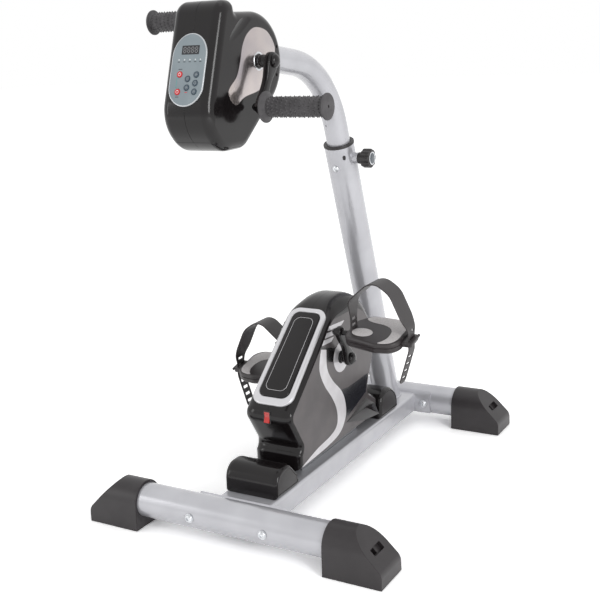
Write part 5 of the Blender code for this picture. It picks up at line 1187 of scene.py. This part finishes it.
# shallow hollow that parts the round body from the cover: middle, where it fades out, depth and roundness
hollowSizes = {"middle": (-36.0, 64.0), "fade": (-84.0, 34.0), "deep": 1.9, "round": 26.0}
consoleSizes = {"start": 26.5, "length": 117.0, "half": 32.8, "lower": 32.0, "upper": 80.0, "high": 2.5,
                "rim": 1.7, "seat": 4.0, "button": 5.0, "hole": 5.3, "press": 0.8, "window": (16.5, 7.2),
                "windowPlace": (1.0, 90.0)}


def cutHollow(item, place, half):
    h = hollowSizes
    middle, fade = Vector(h["middle"]), Vector(h["fade"])
    along = (fade - middle).normalized()
    depth = half - h["deep"] + h["round"]
    length = (fade - middle).length / math.sqrt(1 - (1 - h["deep"] / h["round"]) ** 2)
    spindle = turned([(-length * math.cos(t), h["round"] * math.sin(t)) for t in halfTurn(60)], 72)
    inner = Matrix(((-along.y, 0, along.x, middle.x), (along.x, 0, along.y, middle.y), (0, 1, 0, depth),
                    (0, 0, 0, 1)))
    cutPiece(item, spindle, place @ inner)


def consoleFrame():
    cheek, crest = Vector(armCorners[7][:2]), Vector(armCorners[6][:2])
    up = (crest - cheek).normalized()
    return slopeFrame(armSides["right"], cheek + up * consoleSizes["start"], up)


def consoleOutline(inset):
    s = consoleSizes
    half = s["half"] - inset
    ends = ((s["upper"], s["length"] - s["upper"] - inset, 0.0), (s["lower"], s["lower"] - inset, math.pi))
    return [(half * math.cos(t), middle + reach * math.sin(t))
            for middle, reach, first in ends for t in halfTurn(24, first)]


def buildArmHousing():
    s = armSizes
    wall, flat = s["wall"], s["rearHalf"]
    shape = cornerShape(armCorners, 4.0)
    # everything in front of the cover's line
    region = counterClockwise(curveThrough(coverLine, False, 5) + [(-260.0, -190.0), (-260.0, 150.0)])
    opening = consoleOutline(consoleSizes["seat"])
    console, neck = consoleFrame(), mastEndFrame()
    inner, outer = s["hubRing"]
    for word, place in armSides.items():
        rear = makePiece("arm_body_" + word, plate(shape, s["seam"], flat, s["rearEdge"], 0, 8), place,
                         gloss, "arm_unit", ["arm_housing_" + word])
        front = plate(shape, s["seam"], s["half"], s["edge"], 0.5, 9, s["edgeDeep"])
        cover = makePiece("arm_cover_" + word, front, place, gloss, "arm_unit")
        for item, half, edge, operation in ((rear, flat, s["rearEdge"], "DIFFERENCE"),
                                            (cover, s["half"], s["edge"], "INTERSECT")):
            cutPiece(item, skin([lift(region, -5.0), lift(region, 60.0)]), place, operation)
            cavity = plate(lambda inset: shape(inset + wall), -2.0, half - wall, edge - wall, 0, 5)
            cutPiece(item, cavity, place)
        cutHollow(rear, place, flat)
        cutPiece(rear, rod(30.0, 60.0, s["axleBore"], 40), place)
        for middle in s["screws"]:
            cutPiece(rear, rod(flat - 1.6, 60.0, s["screwBore"], 24, middle), place)
        cutPiece(rear, rod(-20.0, 90.0, s["mastBore"], 64), neck)
        cutPiece(cover, skin([lift(opening, -12.0), lift(opening, 8.0)]), console)
        flatten(rear)
        flatten(cover)
        leaf = loopPlate(curveThrough(inlayPoints[::-1], True, 6), flat - 0.3, flat + s["inlay"], 0.3, 0, 2)
        ring = turned([(flat, inner), (flat, outer), (flat + 0.9, outer), (flat + 1.4, outer - 0.5),
                       (flat + 1.4, inner + 0.5), (flat + 0.9, inner)], 56, True)
        bush = turned([(flat - 2.0, s["axleBore"]), (flat - 2.0, inner), (flat + 0.9, inner),
                       (flat + 0.9, s["axleBore"])], 48, True)
        for name, solid, finish in (("arm_inlay_", leaf, foil), ("hub_ring_", ring, zinc),
                                    ("hub_bush_", bush, satin)):
            makePiece(name + word, solid, place, finish, "arm_unit")
    collar = [(24.0, 23.7), (24.0, 29.5), (33.0, 28.6), (35.0, 27.8), (36.0, 26.4), (36.0, 23.7)]
    makePiece("mast_collar", turned(collar, 72, True), neck, satin, "arm_unit")


gripSizes = {"start": 79.0, "end": 195.0, "radius": 15.5, "flange": 25.4, "disc": 21.4, "rows": 12,
             "around": 18, "stud": 2.9, "studRadius": 2.3, "bore": 5.3, "spindleEnd": 179.5}


def gripStuds():
    # pointed studs in rows, every other row shifted by half a step
    g = gripSizes
    studs = bmesh.new()
    for i in range(g["rows"]):
        w = g["start"] + 13.0 + (g["end"] - g["start"] - 23.0) * i / (g["rows"] - 1)
        for j in range(g["around"]):
            t = 2 * math.pi * (j + 0.5 * (i % 2)) / g["around"]
            out = Vector((math.cos(t), math.sin(t), 0))
            across = Vector((-out.y, out.x, 0))
            tip = studs.verts.new(out * (g["radius"] + g["stud"]) + Vector((0, 0, w)))
            ring = [studs.verts.new(out * (g["radius"] - 0.5) + across * u + Vector((0, 0, w + v)))
                    for u, v in circle(g["studRadius"], 8)]
            for corner, after in zip(ring, ring[1:] + ring[:1]):
                studs.faces.new((corner, after, tip))
            studs.faces.new(ring[::-1])
    return studs


def buildGrip(word):
    g = gripSizes
    body = word + "_grip"
    pivot = pivotOf(body + "_spin")
    start, end, radius, flange, disc = (g[key] for key in ("start", "end", "radius", "flange", "disc"))
    floor = g["spindleEnd"] + 0.3
    profile = [(floor, 0.02), (floor, g["bore"]), (start, g["bore"]), (start, flange - 0.8),
               (start + 0.8, flange), (start + 2.4, flange), (start + 3.4, flange - 1.2),
               (start + 5.0, radius + 3.5), (start + 8.0, radius), (end - 6.0, radius),
               (end - 4.4, radius + 2.0), (end - 3.6, disc - 0.6), (end - 3.0, disc), (end - 1.2, disc),
               (end - 0.3, disc - 0.8), (end, disc - 2.2), (end, 2.4), (end - 3.0, 2.2), (end - 3.0, 0.02)]
    makePiece("grip_shaft_" + word, merged(turned(profile, 64), gripStuds()),
              sideFrame(pivot.y, pivot.z, outward[word]), gripSkin, body, ["grip_" + word], 30)


# Console: places are in its own plane, across and up from its lowest point
buttonPlaces = {"power": (-14.0, 51.3), "start": (-14.5, 23.5), "mode": (2.0, 44.0), "enter": (2.0, 30.0),
                "up": (17.7, 50.4), "reset": (17.3, 37.0), "down": (17.2, 23.4)}
# printed marks: half width, half height and place
captionMarks = [(2.2, 0.55, (-19.0, 71.2)), (2.2, 0.55, (-8.3, 71.2)), (2.2, 0.55, (2.0, 71.2)),
                (2.2, 0.55, (12.3, 71.2)), (2.2, 0.55, (22.0, 71.2)), (3.6, 0.55, (-14.0, 59.6)),
                (3.2, 0.55, (-14.5, 15.4))]
linkMarks = [(0.35, 8.0, (-18.5, 37.4)), (1.8, 0.35, (-17.0, 45.2)), (1.8, 0.35, (-17.0, 29.6))]
digitSizes = {"left": -12.3, "step": 7.4, "low": 85.6, "wide": 4.4, "high": 8.8, "bar": 1.1}


def mark(halfU, halfV, middle, base, low=-0.1, high=0.12):
    return cornerPlate(box2(halfU, halfV, 0.15, middle), 30.0, base + low, base + high)


def ringMark(middle, outer, width, base):
    low, high = base - 0.1, base + 0.12
    profile = [(low, outer - width), (low, outer), (high, outer), (high, outer - width)]
    return turned(profile, 32, True, middle)


def digit(place, base):
    # seven bars of an unlit digit
    left, step, low, wide, high, bar = digitSizes.values()
    left += step * place
    rows = [(wide / 2 - bar * 0.7, bar / 2, (left + wide / 2, low + high / 2 * row)) for row in range(3)]
    rows += [(bar / 2, high / 4 - bar * 0.7, (left + wide * side, low + high / 4 * (1 + 2 * row)))
             for row in range(2) for side in (0, 1)]
    return [mark(*row, base, 0.0, 0.15) for row in rows]


def buildConsoleFace(place, face):
    s = consoleSizes
    seat, rim = s["seat"] + 0.4, s["rim"]
    rings = [lift(consoleOutline(0.0), 0.3)]
    rings += [lift(consoleOutline(inset), s["high"] - drop) for inset, drop in reversed(edgeArc(0.9, 3))]
    rings += [lift(consoleOutline(rim), w) for w in (s["high"], 0.3)]
    makePiece("console_rim", skin(rings, True), place, bezel, "arm_unit", ["console_panel"], 40)
    levels = ((seat, -5.0), (seat, 0.3), (rim, 0.3), (rim, face))
    solid = skin([lift(consoleOutline(inset), w) for inset, w in levels])
    panel = makePiece("console_face", solid, place, membrane, "arm_unit", (), 40)
    cutPiece(panel, loopPlate(consoleOutline(s["seat"] + 2.4), -8.0, face - 1.5), place)
    for middle in buttonPlaces.values():
        cutPiece(panel, rod(-8.0, 8.0, s["hole"], 40, middle), place)
    smoothFaces(panel)


def buildConsolePrint(place, face):
    s = consoleSizes
    dot = [(face - 0.3, 1.1), (face + 0.25, 1.1), (face + 0.4, 0.8)]
    digits = [bar for i in range(4) for bar in digit(i, face + 0.1)]
    dots = [turned(dot, 20, False, (middle[0], 74.5)) for _, _, middle in captionMarks[:5]]
    window = cornerPlate(box2(*s["window"], 0.8, s["windowPlace"]), 20.0, face - 0.5, face + 0.15)
    for name, solids, finish in (
        ("display_window", [window], smoked),
        ("display_digits", digits, segments),
        ("lamp_dots", dots, white),
        ("caption_bars", [mark(*row, face) for row in captionMarks], dark),
        ("link_lines", [mark(*row, face) for row in linkMarks], teal),
        ("small_caption", [mark(2.4, 0.5, (2.0, 22.6), face)], redKey),
    ):
        makePiece(name, merged(*solids), place, finish, "arm_unit")


def buildButtons(place):
    key = consoleSizes["button"]
    tip = 0.3 + 2.2 + consoleSizes["press"]
    flat = tip - 0.3
    profile = [(-5.0, 2.0), (-1.4, 2.0), (-1.4, 6.2), (0.0, 6.2), (0.0, key), (tip - 0.7, key),
               (tip - 0.2, key - 0.25), (tip, key - 0.8), (tip - 0.25, key - 1.4), (flat, 0.02)]
    for name, middle in buttonPlaces.items():
        body = "button_" + name
        if name in ("power", "start"):
            finish, ink = redKey, white
            bar = mark(0.35, 1.1, (middle[0], middle[1] + 2.0), flat, high=0.2)
            icon = [ringMark(middle, 2.7, 0.7, flat), bar]
        else:
            finish, ink = blueKey, paleInk
            icon = [ringMark(middle, 2.4, 0.4, flat), mark(1.2, 0.3, middle, flat)]
        makePiece(body + "_cap", turned(profile, 40, False, middle), place, finish, body, [body], 40)
        makePiece(body + "_icon", merged(*icon), place, ink, body)


buildArmHousing()
for word in outward:
    buildCrank(word, "hand", "arm", word + "_grip", armSizes["half"], 14.0, gripSizes["spindleEnd"], 7.2)
    buildGrip(word)
console, face = consoleFrame(), consoleSizes["high"] - 0.3
buildConsoleFace(console, face)
buildConsolePrint(console, face)
buildButtons(console)
print("arm unit built")

# Stage, light and camera
studio = {"floor": "#cccccc", "floorSeen": 1.62, "floorSize": 14.0, "ambient": 0.72}
# place, target, width and height in metres, watts
lamps = {"key": ((3.8, -2.1, 1.8), (0, 0, 0.5), (1.1, 2.2), 66.0),
         "fill": ((-3.3, -3.4, 1.6), (0, 0, 0.45), (0.9, 2.2), 18.0),
         "top": ((0.2, 0.3, 3.2), (0, 0, 0.3), (2.0, 0.9), 2.0)}
view = {"place": (0.9843, -1.3942, 0.8898), "yaw": 30.46, "pitch": 14.57, "roll": -2.89, "focal": 1043.8,
        "middle": (303.53, 298.12), "image": 600.0, "sensor": 36.0}


def seenDirectly(owner):
    # 1 for rays that show the backdrop: the camera's, and those through glass or off a glossy face
    rays = addNode(owner, "ShaderNodeLightPath").outputs
    seen = rays["Is Camera Ray"]
    for kind in ("Is Transmission Ray", "Is Glossy Ray"):
        larger = addNode(owner, "ShaderNodeMath", {"operation": "MAXIMUM"}, {0: seen, 1: rays[kind]})
        seen = larger.outputs[0]
    return seen


def buildFloor():
    size, glare = studio["floorSize"], studio["floorSeen"]
    mesh = bpy.data.meshes.new("floor")
    corners = [(x * size, y * size, -0.0002) for x, y in ((-1, -1), (1, -1), (1, 1), (-1, 1))]
    mesh.from_pydata(corners, [], [(0, 1, 2, 3)])
    material = bpy.data.materials.new("studio floor")
    material.use_nodes = True
    shader = material.node_tree.nodes["Principled BSDF"]
    shader.inputs["Roughness"].default_value = 0.9
    shader.inputs["Specular IOR Level"].default_value = 0.0
    mix = addNode(material, "ShaderNodeMix",
                  {"data_type": "RGBA", 6: hexColour(studio["floor"]), 7: (glare, glare, glare, 1.0)},
                  {0: seenDirectly(material)})
    material.node_tree.links.new(shader.inputs["Base Color"], mix.outputs[2])
    mesh.materials.append(material)
    addObject("floor", mesh)


def buildWorld():
    # soft light on the object, plain white where the backdrop itself is seen
    world = bpy.data.worlds.new("studio")
    bpy.context.scene.world = world
    world.use_nodes = True
    world.node_tree.nodes.clear()
    light, seen = (addNode(world, "ShaderNodeBackground", {"Color": (1, 1, 1, 1), "Strength": strength})
                   for strength in (studio["ambient"], 1.0))
    mix = addNode(world, "ShaderNodeMixShader",
                  links={0: seenDirectly(world), 1: light.outputs[0], 2: seen.outputs[0]})
    addNode(world, "ShaderNodeOutputWorld", links={"Surface": mix.outputs[0]})


def addLamp(name, place, target, size, watts):
    lamp = bpy.data.lights.new(name, "AREA")
    lamp.shape = "RECTANGLE"
    lamp.size, lamp.size_y = size
    lamp.energy = watts
    item = addObject(name, lamp)
    item.location = place
    item.rotation_mode = "QUATERNION"
    item.rotation_quaternion = (Vector(place) - Vector(target)).to_track_quat("Z", "Y")


def buildCamera():
    yaw, pitch, roll = (math.radians(view[key]) for key in ("yaw", "pitch", "roll"))
    image, (across, down) = view["image"], view["middle"]
    ahead = Vector((-math.sin(yaw) * math.cos(pitch), math.cos(yaw) * math.cos(pitch), -math.sin(pitch)))
    right = Vector((math.cos(yaw), math.sin(yaw), 0))
    up = right.cross(ahead)
    turnedRight = math.cos(roll) * right + math.sin(roll) * up
    turnedUp = -math.sin(roll) * right + math.cos(roll) * up
    place = Matrix((turnedRight, turnedUp, -ahead)).transposed().to_4x4()
    place.translation = Vector(view["place"]) + Vector((0, frontTubeY, 0))
    data = bpy.data.cameras.new("photo camera")
    data.sensor_width = view["sensor"]
    data.lens = view["focal"] / image * view["sensor"]
    data.shift_x = (image / 2 - across) / image
    data.shift_y = (down - image / 2) / image
    camera = addObject("photo camera", data)
    camera.matrix_world = place
    bpy.context.scene.camera = camera


buildFloor()
buildWorld()
for name, lampValues in lamps.items():
    addLamp(name, *lampValues)
buildCamera()
bpy.context.scene.view_settings.view_transform = "Standard"
print("stage, light and camera ready")
